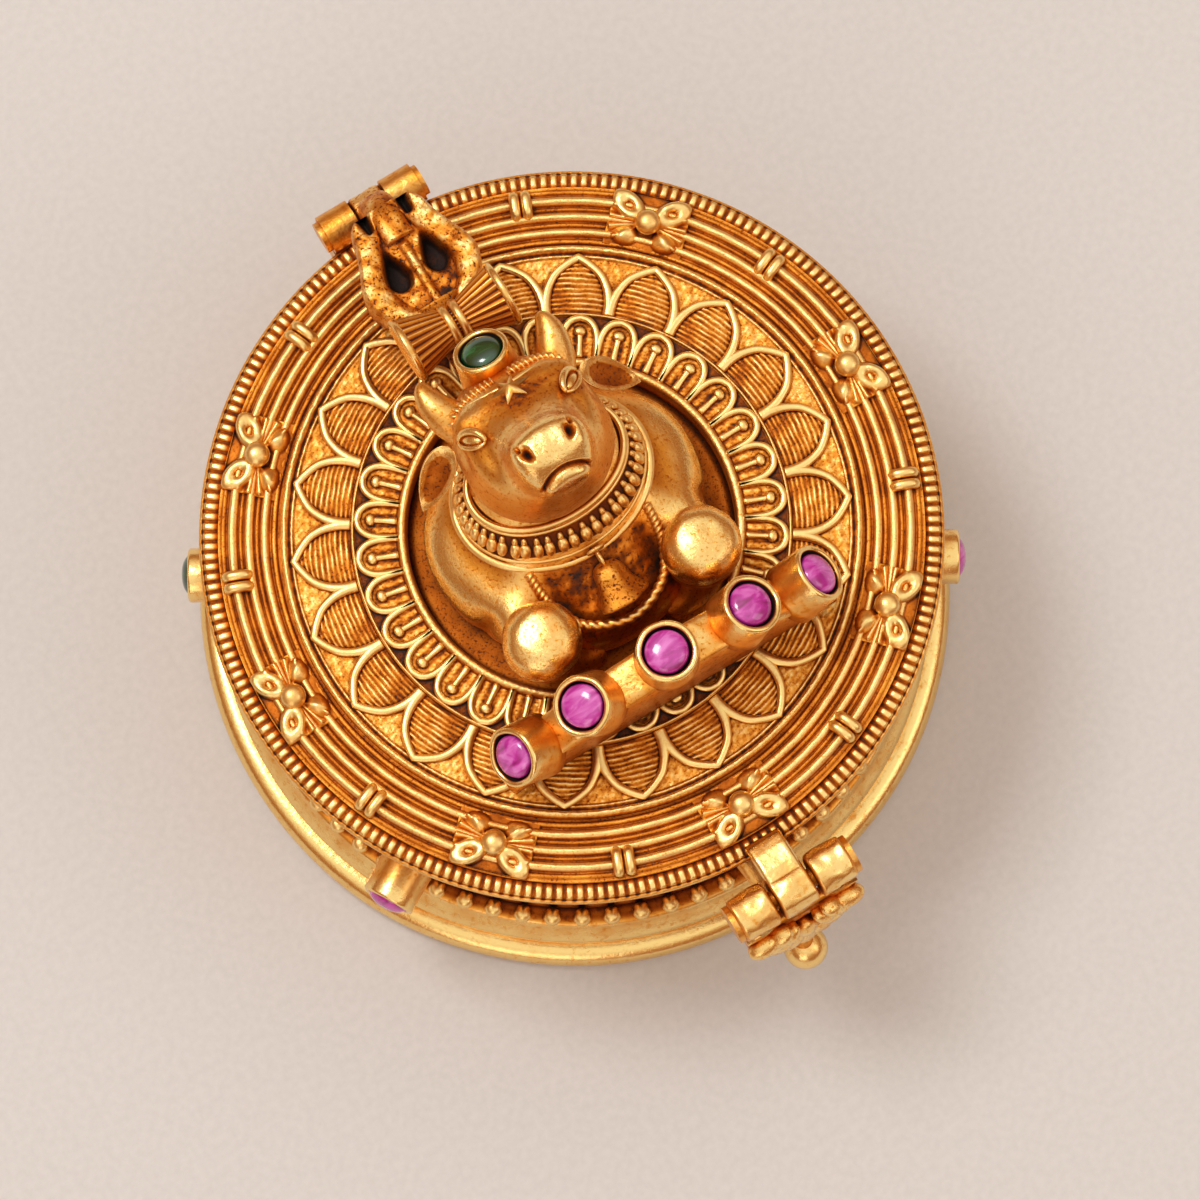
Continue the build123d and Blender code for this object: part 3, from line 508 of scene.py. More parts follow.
def cabochon_glass(name, deep, middle, bright, streak_mm):
    """Polished corundum, cut as a low dome and set over a closed back: milky colour
    with paler streaks inside, worn matt facets, and a clear highlight on top."""
    material, tree, shader = new_material(name)
    place = add_node(tree, "ShaderNodeTexCoord").outputs["Object"]
    drawn = add_node(tree, "ShaderNodeMapping", {}, {"Vector": place, "Scale": (0.35, 1.0, 0.5)})
    streak = noise(tree, drawn.outputs["Vector"], streak_mm, Detail=5.0, Distortion=0.8)
    colour = add_node(tree, "ShaderNodeValToRGB", {}, {"Fac": streak})
    set_ramp(colour, ((0.30, deep), (0.50, middle), (0.68, bright)))
    bump = add_node(tree, "ShaderNodeBump", {},
                    {"Height": streak, "Strength": 0.4, "Distance": 0.03 * MM})
    tree.links.new(colour.outputs["Color"], shader.inputs["Base Color"])
    tree.links.new(bump.outputs["Normal"], shader.inputs["Normal"])
    for socket, value in (("Roughness", 0.16), ("IOR", 1.76), ("Coat Weight", 0.4),
                          ("Coat Roughness", 0.05)):
        shader.inputs[socket].default_value = value
    return material


class SindoorBoxSettings(PropertyGroup):
    """Sizes and colours that a user would change."""

    rim_teeth: IntProperty(name="Rim teeth", description="Teeth milled round the lid's rim", default=222,
                           min=40, max=400)
    petals: IntProperty(name="Petals", description="Pointed petals round the lid", default=22, min=8,
                        max=60)
    arches: IntProperty(name="Arches", description="Small arches round the well", default=32, min=12,
                        max=80)
    wall_panels: IntProperty(name="Wall panels", description="Upright panels round the cup", default=72,
                             min=12, max=160)
    wire_height: FloatProperty(name="Wire height", description="Height of the soldered wires, in mm",
                               default=0.44, min=0.1, max=0.9)
    gold_bright: StringProperty(name="Rubbed gold",
                                description="Colour of the rubbed high parts, sRGB hex",
                                default="#FCD88C")
    gold_mid: StringProperty(name="Gold", description="Colour of the plated surface, sRGB hex",
                             default="#E79C3A")
    gold_warm: StringProperty(name="Warm gold", description="Colour where the polish fades, sRGB hex",
                              default="#C26A20")
    gold_shade: StringProperty(name="Tarnish", description="Colour of the tarnished ground, sRGB hex",
                               default="#7C3A12")
    gold_deep: StringProperty(name="Patina", description="Colour of the blackened hollows, sRGB hex",
                              default="#1E0E07")
    ruby_deep: StringProperty(name="Ruby", description="Colour of the red stones, sRGB hex",
                              default="#8C1568")
    ruby_middle: StringProperty(name="Ruby body", description="Body colour of the red stones, sRGB hex",
                                default="#C22EA4")
    ruby_bright: StringProperty(name="Ruby clouds",
                                description="Paler streaks in the red stones, sRGB hex",
                                default="#E277CE")
    green_deep: StringProperty(name="Green stone", description="Colour of the green stones, sRGB hex",
                               default="#06281A")
    green_middle: StringProperty(name="Green body",
                                 description="Body colour of the green stones, sRGB hex",
                                 default="#0A3E1C")
    green_bright: StringProperty(name="Green clouds",
                                 description="Paler clouds in the green stones, sRGB hex",
                                 default="#2E7A48")
    linen: StringProperty(name="Table cloth", description="Colour of the plain pale floor, sRGB hex",
                          default="#D4D1D0")


# Kinds of gold: roughness, grain width and depth in mm, crevice shade and grime (painted shade with
# grime), pits, and the even patina of worn
GOLD_LOOKS = {
    "wires": (0.30, 0.16, 0.022, 0.30, 0.12),
    "ground": (0.38, 0.15, 0.040, 0.30, 0.34),
    "cast": (0.21, 0.24, 0.050, 0.30, 0.34),
    "polished": (0.22, 0.45, 0.045, 0.30, 0.16),
    "rough": (0.34, 0.22, 0.090, 0.36, 0.70),
    "worn": (0.22, 0.70, 0.110, 0.34, 0.20, 0.74),
}
STREAK_WIDTH = 0.8  # of the clouds in a stone
finishes = {}


def gold(kind):
    """The antique gold finish of one kind, made once: wires, ground, cast, polished,
    rough, or worn, the crinkled one for plain pieces."""
    if kind not in finishes:
        s = bpy.context.scene.sindoor_box
        stops = ((0.0, s.gold_deep), (0.22, s.gold_shade), (0.45, s.gold_warm), (0.70, s.gold_mid),
                 (1.0, s.gold_bright))
        finishes[kind] = antique_gold("antique_gold_" + kind, stops, *GOLD_LOOKS[kind])
    return finishes[kind]


def stone(kind):
    """The stone finish, made once: ruby or green."""
    if kind not in finishes:
        s = bpy.context.scene.sindoor_box
        colours = {"ruby": (s.ruby_deep, s.ruby_middle, s.ruby_bright),
                   "green": (s.green_deep, s.green_middle, s.green_bright)}
        finishes[kind] = cabochon_glass("cabochon_" + kind, *colours[kind], STREAK_WIDTH)
    return finishes[kind]


def finish_node(node, kind):
    """Gives a node of the frame, kept as it is, its material."""
    mesh = frame["nodes"][node].data
    mesh.materials.clear()
    mesh.materials.append(gold(kind))


# Box


def edge_wobble(r, a, z):
    """Slow unevenness of the box's outline, nothing near its axis."""
    return 0.10 * ripple_round(a, 3, 9) * (r > WALL_RADIUS - 1) - 0.08 * (r > WALL_RADIUS), 0


class SINDOOR_OT_foot(Operator):
    """Base ring, flared foot and the row of beads that stands on it."""

    bl_idname = "sindoor.foot"
    bl_label = "Foot"

    def execute(self, context):
        base_high = node_box("base_ring")[1]
        foot_low, foot_high = node_box("foot_ring")
        edge = base_high[0]
        half = base_high[2] / 2
        inner = node_box("body_cup")[1][0]
        t = np.linspace(-np.pi / 2, np.pi / 2, 14)
        torus = np.stack([edge - half + half * np.cos(t), half + half * np.sin(t)], axis=1)
        back = [[inner + 0.2, base_high[2]], [inner, base_high[2] - 0.1], [inner, 1.0], [2.0, 1.0]]
        profile = np.vstack([[[2.0, 0.0]], torus, back])
        base = turned(profile, 240, shift=edge_wobble, wear=0.86)
        dress("base_ring", base, "box", gold("polished"))
        path = smooth_curve([[foot_high[0] - 0.5, foot_low[2]], [foot_high[0], foot_low[2] + 1.0],
                             [foot_high[0] - 0.75, foot_high[2] - 0.75],
                             [foot_high[0] - 1.15, foot_high[2] - 0.1],
                             [WALL_RADIUS + 0.2, foot_high[2]]], 26)
        profile = np.vstack([[[inner, foot_low[2]]], path, [[inner, foot_high[2]]]])
        share = np.linspace(0, 1, 26)
        worn = np.interp(share, [0, .12, .3, .7, .85, 1], [.2, .8, .9, .8, .45, .3])
        wear = np.concatenate([[0.3], worn, [0.2]])[:, None]
        foot = turned(profile, 240, sweep=True, shift=edge_wobble, wear=wear)
        dress("foot_ring", foot, "box", gold("polished"))
        count = context.scene.sindoor_box.wall_panels
        bead = ball((WALL_RADIUS + 0.62, 0, foot_high[2] + 0.66), (0.68, 0.68, 0.64), 6, 10, 0.85)
        dress("foot_beads", repeated(bead, count), "box", gold("wires"), rounds=3)
        return {"FINISHED"}


class SINDOOR_OT_wall(Operator):
    """Cup and its grooved wall, with a small drop at the head of every other panel."""

    bl_idname = "sindoor.wall"
    bl_label = "Wall"

    def execute(self, context):
        count = context.scene.sindoor_box.wall_panels
        inner = node_box("body_cup")[1][0]
        panel_top = WALL_HIGH - 2.0
        segments = count * 12
        heights = np.linspace(WALL_LOW, WALL_HIGH, 44)
        profile = np.vstack([[[inner, WALL_LOW]], np.stack([np.full(44, WALL_RADIUS), heights], axis=1),
                             [[inner, WALL_HIGH]]])
        panel = TAU * WALL_RADIUS / count

        def groove(r, a, z):
            gap = panel / 2 - np.abs((a * count / TAU) % 1.0 - 0.5) * panel
            cut = -0.38 * bell(gap, 0.16)
            border = 0.15 * bell(z - WALL_HIGH + 1.2, 0.5) - 0.15
            inside = (z > WALL_LOW + 0.6) & (z < panel_top)
            return np.where(r > inner + 0.1, np.where(inside, cut, 0) + border, 0), 0

        angle = round_angles(segments)
        gap = np.abs((angle * count / TAU) % 1.0 - 0.5)
        wear = np.where((gap > 0.40) & (profile[:, 1:2] < panel_top), 0.15, 0.70)
        wall = turned(profile, segments, sweep=True, shift=groove, wear=wear)
        dress("wall_sleeve", wall, "box", gold("cast"))
        drop = ball((WALL_RADIUS - 0.55, 0, WALL_HIGH - 3.2), (0.5, 0.55, 0.9), 7, 10, 0.85)
        make_piece("wall_drops", repeated(drop, count // 2), "box", gold("wires"), rounds=3)
        finish_node("body_cup", "worn")
        return {"FINISHED"}


# Lid bands


def land(inner, outer, z, rows, columns, relief, name, nodes, material):
    """A ring-shaped field: rows of radius by columns of angle, raised by
    relief(radius, angle), closed by plain walls and a plain underside."""
    r = np.linspace(inner, outer, rows)[:, None]
    a = round_angles(columns)
    r, a = np.broadcast_arrays(r, a)
    height, wear = relief(r, a)
    top = polar(r, a, z + height)

    def ring(radius):
        return polar(radius, a[0], RIM_BOTTOM)[None]
    points = np.concatenate([ring(inner), top, ring(outer)])
    wear = np.concatenate([np.full((1, columns), 0.3), wear, np.full((1, columns), 0.3)])
    return make_piece(name, shell(points, wear, wrap_rows=True, caps=False), "lid", material, nodes,
                      rounds=4)


def rings(r, wander, wires):
    """Heights of round wires given as (radius, half width, height), each straying a
    little from its circle."""
    height = np.zeros(r.shape)
    for place, (radius, half, top) in enumerate(wires):
        height = np.maximum(height, ridge(r - radius - wander * (0.7 + 0.2 * (place % 3)), half, top))
    return height


# Half a petal's outline, from its leg to its tip: degrees from its middle, radius
PETAL_LINE = np.array([(8.05, 15.35), (8.0, 16.0), (7.6, 16.6), (6.7, 17.35), (5.0, 18.2), (2.3, 18.9),
                       (0.0, 19.35)])
PIN_HEAD = 13.95  # radius at which an arch's pin has its head
# Half an arch's outline, from its foot to its crown: mm from its middle, radius
ARCH_LINE = np.array([(1.20, 12.0), (1.22, 12.8), (1.20, 13.6), (1.03, 14.25), (0.62, 14.72),
                      (0.0, 14.92)])


class SINDOOR_OT_rim(Operator):
    """Milled rim: flat bars with dark gaps between, inside a plain lip."""

    bl_idname = "sindoor.rim"
    bl_label = "Rim"

    def execute(self, context):
        teeth = context.scene.sindoor_box.rim_teeth
        segments = teeth * 10
        low, high = RIM_BOTTOM, RIM_TOP
        inner, outer = PLATE_RADIUS, RIM_RADIUS
        profile = [[inner, low], [inner, high - 0.45], [inner + 0.02, high - 0.3],
                   [inner + 0.06, high - 0.05], [inner + 0.45, high], [outer - 0.50, high - 0.02],
                   [outer - 0.34, high - 0.12], [outer - 0.30, high - 0.32], [outer - 0.20, high - 0.34],
                   [outer - 0.06, high - 0.44], [outer - 0.02, high - 0.65], [outer - 0.10, low + 0.45],
                   [outer - 0.12, low + 0.3], [outer - 0.3, low]]
        z_top = np.array([p[1] for p in profile])[:, None]

        def milled(a):
            return 1 / (1 + np.exp(-(np.cos(a * teeth) + 0.34) * 6))

        def cut(r, a, z):
            gap = 1 - milled(a + 0.0006 * ripple_round(a, 8, 2))
            face = (z > high - 0.33) & (r < outer - 0.25) & (r > inner + 0.1)
            return 0 * r, -0.20 * gap * face
        angle = round_angles(segments)
        plain = np.array([.1, .1, .3, .7, .98, .98, .85, .45, .8, .8, .7, .5, .3, .3])[:, None]
        wear = np.where(z_top > high - 0.35, plain * (0.34 + 0.66 * milled(angle)), plain)
        rim = turned(profile, segments, sweep=True, shift=cut, wear=wear)
        dress("milled_rim", rim, "lid", gold("wires"), rounds=1)
        return {"FINISHED"}


class SINDOOR_OT_ridged_band(Operator):
    """Outer band of the lid: three fat wires between thin chased lines."""

    bl_idname = "sindoor.ridged_band"
    bl_label = "Ridged band"

    def execute(self, context):
        wire = context.scene.sindoor_box.wire_height

        def relief(r, a):
            x, y = r * np.cos(a), r * np.sin(a)
            wander = 0.05 * ripple_round(a, 5, 4)
            lines = ((24.2, 0.17, 0.28), (23.55, 0.34, 1.0), (22.97, 0.13, 0.22), (22.42, 0.33, 0.95),
                     (21.84, 0.15, 0.26), (21.30, 0.32, 0.90), (20.64, 0.20, 0.36))
            height = rings(r, wander, [(place, half, wire * top) for place, half, top in lines])
            raised = height / wire
            wear = 0.52 + 0.46 * unit((raised - 0.25) / 0.40)
            return height + 0.035 * ripple(x, y, 0, 6, 0.35), wear + 0.09 * ripple(x, y, 0, 7, 0.5)
        land(PETAL_EDGE, PLATE_RADIUS, BAND_Z, 104, 900, relief, "dressed_band",
             ["lid_plate", "band_wires"], gold("ground"))
        return {"FINISHED"}


class SINDOOR_OT_petal_band(Operator):
    """Middle band of the lid: pointed petals of wire round domed, woven panels."""

    bl_idname = "sindoor.petal_band"
    bl_label = "Petal band"

    def execute(self, context):
        s = context.scene.sindoor_box
        wire = s.wire_height
        pitch = TAU / s.petals
        scale = 22 / s.petals

        def relief(r, a):
            x, y = r * np.cos(a), r * np.sin(a)
            wander = 0.04 * ripple_round(a, 9, 5)
            height = rings(r, wander, [(19.95, 0.26, wire), (19.42, 0.10, 0.35 * wire)])
            turn = np.abs((a + np.pi / 2 + pitch / 2) % pitch - pitch / 2)
            edge = np.radians(np.interp(r, PETAL_LINE[:, 1], PETAL_LINE[:, 0]) * scale)
            near = bell((turn - edge) * r, 0.36) * (r < 19.5)
            wear = unit(0.72 + 0.4 * height / wire - 0.36 * near)
            wear = np.where(r > 19.55, unit(0.42 + 0.56 * height / wire), wear)
            return height + 0.05 * ripple(x, y, 0, 11, 0.11), wear + 0.20 * ripple(x, y, 0, 12, 0.16)
        land(ARCH_EDGE, PETAL_EDGE, PETAL_Z, 64, 1320, relief, "dressed_petal_ground",
             ["petal_ring", "border_rings"], gold("ground"))

        half = smooth_curve(PETAL_LINE, 40)
        path = np.vstack([half, half[-2::-1] * [-1, 1]])
        angle = np.radians(path[:, 0] * scale)
        run = polar(path[:, 1], angle, PETAL_Z + 0.20)
        width = np.interp(path[:, 1], [15.3, 16.2, 17.5, 19.3], [0.42, 0.40, 0.31, 0.29])
        outline = wire_on(run, width, 12, 0.75)
        make_piece("petal_wires", repeated(outline, s.petals), "lid", gold("wires"), rounds=2)

        r = np.linspace(15.40, 18.95, 50)[:, None]
        u = np.linspace(-1, 1, 27)[None, :]
        side = np.radians(np.interp(r, PETAL_LINE[:, 1], PETAL_LINE[:, 0]) * scale) - 0.24 / r
        side = np.maximum(side, 0.001)
        wobble = 0.5 * np.sin(2.3 * u + 3 * r) + 0.9 * ripple(r, u * 2, 0, 10, 0.6)
        depth = 0.8 + 0.5 * ripple(r * 2, u * 2, 0, 19, 0.4)
        weave = (0.5 + 0.5 * np.cos(TAU * (r - 15.3) / 0.36 + wobble)) * depth
        crown = np.sqrt(unit(1 - u ** 2)) * unit((19.1 - r) / 0.9) ** 0.5
        top = polar(r, side * u, PETAL_Z - 0.02 + 0.24 * crown + 0.09 * weave)
        wear = 0.16 + 0.22 * crown + 0.54 * weave + 0.18 * ripple(r, u * 2, 0, 16, 0.25)
        make_piece("petal_panels", repeated(slab(top, PETAL_Z - 0.3, wear), s.petals), "lid",
                   gold("ground"), rounds=2, relief=0.06)
        return {"FINISHED"}


class SINDOOR_OT_arch_band(Operator):
    """Inner band of the lid: a row of small arches with a headed pin in each, the
    plain ring round the well, and the well's floor."""

    bl_idname = "sindoor.arch_band"
    bl_label = "Arch band"

    def execute(self, context):
        s = context.scene.sindoor_box
        wire = s.wire_height
        step = TAU / s.arches
        scale = 32 / s.arches

        def relief(r, a):
            x, y = r * np.cos(a), r * np.sin(a)
            height = rings(r, 0.03 * ripple_round(a, 13, 5),
                           [(15.17, 0.13, 0.8 * wire), (11.76, 0.36, wire)])
            across = np.abs(((a + np.pi / 2 + step / 2) % step - step / 2) * r)
            out = np.hypot(across, np.clip(r - 13.72, 0, None)) - 1.20 * scale
            inside = out < 0
            near = bell(out, 0.30) * (r > 12.2)
            head = np.hypot(across, r - PIN_HEAD)
            pin = np.where(r < PIN_HEAD, across, head)
            near = np.maximum(near, bell(pin - 0.36, 0.16) * (r > 12.2) * inside)
            wear = np.where(inside, 0.72 + 0.25 * ripple(x, y, 0, 18, 0.14), 0.30) - 0.40 * near
            wear = np.where((r < 13.4) & (out > -0.20), 0.92, wear)
            filled = 0.95 * wire * unit((13.5 - r) / 0.7) * unit((out + 0.35) / 0.25)
            height = np.maximum(height, filled * (r > 12.0))
            wear = np.where(r < 12.2, 0.40 + 0.55 * height / wire, wear)
            wear = np.where(r > 15.02, 0.85, wear)
            wear = unit(wear + 0.06 * ripple(x, y, 0, 15, 0.3))
            return height + 0.02 * ripple(x, y, 0, 14, 0.12), wear
        land(WELL_EDGE, ARCH_EDGE, ARCH_Z, 72, 1280, relief, "dressed_arch_ground",
             ["arch_ring", "arch_pins", "well_ring"], gold("ground"))

        half = smooth_curve(ARCH_LINE, 24)
        path = np.vstack([half, half[-2::-1] * [-1, 1]])
        angle = path[:, 0] * scale / path[:, 1]
        run = polar(path[:, 1], angle, ARCH_Z + 0.24)
        outline = wire_on(run, 0.26, 10, 0.8)
        make_piece("arch_wires", repeated(outline, s.arches), "lid", gold("wires"), rounds=2)
        stem = joined(np.linspace(12.1, 14.0, 10), np.zeros(10), ARCH_Z + 0.10)
        pin = merged([wire_on(stem, np.interp(np.linspace(0, 1, 10), [0, 0.5, 1], [0.30, 0.22, 0.26]), 8,
                              0.8), ball((PIN_HEAD, 0, ARCH_Z + 0.14), (0.38, 0.46, 0.26), 6, 12, 0.88)])
        make_piece("arch_headed_pins", repeated(pin, s.arches), "lid", gold("wires"), rounds=2)

        t = np.linspace(0.3, WELL_EDGE + 0.05, 20)
        profile = np.stack([t[::-1], np.full(20, WELL_FLOOR)], axis=1)
        profile = np.vstack([profile, [[0.3, RIM_BOTTOM]], [[WELL_EDGE + 0.05, RIM_BOTTOM]]])
        make_piece("well_floor", turned(profile, 120, sweep=True, wear=0.30), "lid", gold("ground"))
        low, high = node_box("lid_flange")
        outer = high[0]
        ring = [[outer, low[2]], [outer, high[2]], [outer - 0.7, high[2]], [outer - 0.7, low[2]]]
        dress("lid_flange", turned(ring, 160, sweep=True, wear=0.7), "lid", gold("polished"))
        return {"FINISHED"}


class SINDOOR_OT_band_ornaments(Operator):
    """Rosettes with their balls and the pairs of bars on the ridged band."""

    bl_idname = "sindoor.band_ornaments"
    bl_label = "Band ornaments"

    def execute(self, context):
        base = node_box("rosettes")[0][2] - 0.40
        radius = 22.5
        q, t = np.meshgrid(np.linspace(-2.05, 2.0, 52), np.linspace(-2.8, 2.8, 66), indexing="ij")
        reach = np.hypot(q, t)
        side = np.abs(t)
        turn = np.arctan2(q, side)
        height = np.full(q.shape, 0.10)
        rays = (reach > 0.7) & (reach < 2.75) & (np.abs(turn) < 0.62)
        height = np.where(rays, 0.42 + 0.20 * np.cos(turn * 21) * unit(reach - 0.7), height)
        # the two outer corners: curled loops round a hollow with a seed in it
        across = side - 1.55
        loop = np.hypot(across / 1.12, (q - 0.98 - 0.35 * across) / 0.86)
        curl = 0.84 * ridge(loop - 0.70, 0.50, 1.0) ** 0.6 * (0.88 + 0.12 * np.sin(3 * turn + t))
        height = np.maximum(height, curl)
        height = np.where(loop < 0.26, 0.30, height)
        # the two inner corners: leaf lobes with a split rib
        across = side - 1.42
        lobe = np.hypot(across / 0.98, (q + 1.10) / 0.82)
        lean = across * 0.75 + (q + 1.12) * 0.65
        height = np.maximum(height, ridge(lobe, 1.0, 0.74) * (0.86 + 0.14 * np.cos(lean * 5)))
        frame_edge = np.maximum(side - 2.62, np.abs(q) - 1.92)
        height = np.where((frame_edge > -0.10) & (np.abs(q) < 1.6), np.maximum(height, 0.26), height)
        wear = np.clip(0.34 + 0.92 * height, 0.10, 0.98)
        top = joined(radius + q, t, base + height + 0.03 * ripple(q, t, 0, 17, 0.3))
        plate = slab(top, base - 0.2, wear)
        knob = ball((radius + 0.02, 0, base + 0.72), (0.92, 0.92, 0.78), 12, 24, 0.86)
        rosettes = repeated(merged([plate, knob]), 8, skip=(4,))
        make_piece("dressed_rosettes", rosettes, "lid", gold("wires"), ["rosettes", "rosette_balls"],
                   rounds=3, relief=0.06)
        bars = []
        for side in (-0.41, 0.41):
            path = smooth_curve([[-0.74, -0.05], [-0.68, 0.22], [-0.4, 0.42], [0.4, 0.42], [0.68, 0.22],
                                 [0.74, -0.05]], 15)
            run = joined(23.4 + path[:, 0], side, base + 0.10 + path[:, 1])
            bars.append(wire_on(run, 0.39, 14))
        dress("band_bars", repeated(merged(bars), 8, first=-67.5), "lid", gold("wires"), rounds=2)
        return {"FINISHED"}


# Bull

# Head in level slices: height, front, back, place and half width of the widest point
HEAD = np.array([(33.6, -0.2, 10.2, 4.6, 4.5), (36.0, -0.6, 10.8, 5.0, 5.0),
                 (38.0, -0.7, 10.3, 5.2, 5.05), (39.5, -0.6, 9.6, 5.5, 4.95),
                 (40.6, -0.5, 8.9, 5.6, 4.7), (41.4, -0.45, 8.0, 5.2, 4.2),
                 (42.2, -0.45, 6.8, 4.2, 3.45), (43.0, -0.5, 5.7, 3.2, 2.95),
                 (43.8, -0.5, 5.0, 2.7, 2.75), (44.4, -0.25, 4.6, 2.5, 2.7),
                 (44.85, 0.25, 4.35, 2.4, 2.65), (45.25, 0.75, 4.1, 2.4, 2.5),
                 (45.6, 1.2, 3.75, 2.4, 2.15), (45.80, 1.65, 3.3, 2.4, 1.5), (45.86, 2.1, 2.7, 2.4, 0.6)])
HEAD_POWER = 2.3


def level_loft(stations, rows, columns, power=2.0):
    """A body of level slices. Each station is (z, front y, back y, y of the widest
    place, half width). A slice joins a front and a back half superellipse."""
    s = smooth_curve(stations, rows)
    z, front, back, widest, half = (s[:, k:k + 1] for k in range(5))
    a = round_angles(columns)
    c, n = np.cos(a), np.sin(a)
    x = half * np.sign(c) * np.abs(c) ** (2 / power)
    reach = np.where(n < 0, widest - front, back - widest)
    y = widest + reach * np.sign(n) * np.abs(n) ** (2 / power)
    return joined(x, y, z)


def on_face(x, z, lift=0.0):
    """Points on the forehead and nose: the back half of the head's slice at each
    height, lifted along the face's slope."""
    back, widest, half = (np.interp(z, HEAD[:, 0], HEAD[:, k]) for k in (2, 3, 4))
    share = unit(1 - (np.abs(x) / half) ** HEAD_POWER) ** (1 / HEAD_POWER)
    return joined(x, widest + (back - widest) * share + 0.6 * lift, z + 0.8 * lift)


class SINDOOR_OT_bull_body(Operator):
    """Body of the bull: flanks, shoulders and polished knees."""

    bl_idname = "sindoor.bull_body"
    bl_label = "Bull body"

    def execute(self, context):
        floor = WELL_FLOOR
        body = level_loft([[floor, -8.2, 9.3, 0.3, 9.0], [26.5, -8.9, 9.8, 0.6, 9.8],
                           [28.5, -8.8, 9.7, 0.8, 9.6], [30.3, -7.6, 9.5, 1.1, 8.6],
                           [31.6, -5.6, 9.0, 1.8, 7.6], [32.8, -3.2, 8.4, 2.6, 6.8],
                           [34.0, -1.6, 8.0, 3.2, 5.9], [35.2, -0.8, 8.0, 3.6, 5.4]], 120, 240)
        x, y, z = np.moveaxis(body, -1, 0)
        shape = 0.05 * ripple(x, y, z, 31, 1.2)
        shape = modelled(shape, body, (((8.8, 1.8, 29.4), (1.8, 4.6, 1.7), 0.75),
                                       ((6.6, 2.2, 32.0), (1.2, 4.5, 1.3), -0.55),
                                       ((6.7, -4.6, 30.6), (2.0, 2.8, 2.2), 1.6),
                                       ((8.4, -3.0, 28.6), (1.2, 0.7, 2.6), -0.5),
                                       ((4.0, -5.2, 30.0), (1.0, 2.2, 2.4), -0.6)))
        wear = 0.76 - 0.46 * unit((27.4 - z) / 2.5) + 0.05 * ripple(x, y, z, 32, 1.0)
        wear = modelled(wear, body, (((9.0, 1.6, 29.6), (1.3, 4.4, 1.8), 0.28),
                                     ((6.6, 2.4, 32.0), (1.3, 4.2, 1.4), -0.34),
                                     ((6.8, -3.4, 31.6), (1.6, 2.0, 1.6), 0.20)))
        chest = unit((-2.6 - y) / 0.6) * unit((4.3 - np.abs(x)) / 0.5)
        chest = chest * unit((z - 28.8) / 0.8)
        wear = wear - (0.40 + 0.34 * ripple(x, y, z, 34, 0.17)) * chest
        dress("bull_body", shell(pushed(body, shape), wear), "lid", gold("cast"), relief=0.10, rounds=10)

        s = smooth_curve([[5.5, -5.9, floor, 1.7, 1.6], [5.9, -6.3, 27.6, 2.15, 2.1],
                          [6.25, -6.7, 30.6, 2.5, 2.5], [6.35, -6.75, 33.0, 2.74, 2.74],
                          [6.35, -6.8, 34.6, 2.5, 2.5], [6.3, -6.75, 35.4, 1.75, 1.75],
                          [6.25, -6.7, 35.65, 0.6, 0.6]], 70)
        a = round_angles(72)
        knee = joined(s[:, :1] + s[:, 3:4] * np.cos(a), s[:, 1:2] + s[:, 4:5] * np.sin(a), s[:, 2:3])
        x, y, z = np.moveaxis(knee, -1, 0)
        crease = bell(z - 31.0 + 0.5 * (y + 6.8), 0.30)
        fold = -0.22 * crease + 0.10 * ripple(x, y, z, 33, 1.3)
        wear = 0.42 + 0.46 * unit((z - 30.5) / 3.2) - 0.3 * crease
        knee_part = shell(pushed(knee, fold), wear)
        shin = along_path(smooth_curve([[6.0, -7.6, 29.6], [4.7, -8.3, 27.8], [3.0, -8.4, 26.8]], 30),
                          np.linspace(1.5, 1.05, 30), 28, wear=0.55)
        dress("bull_forelegs", both_sides(knee_part, shin), "lid", gold("cast"), relief=0.12, rounds=8)
        return {"FINISHED"}


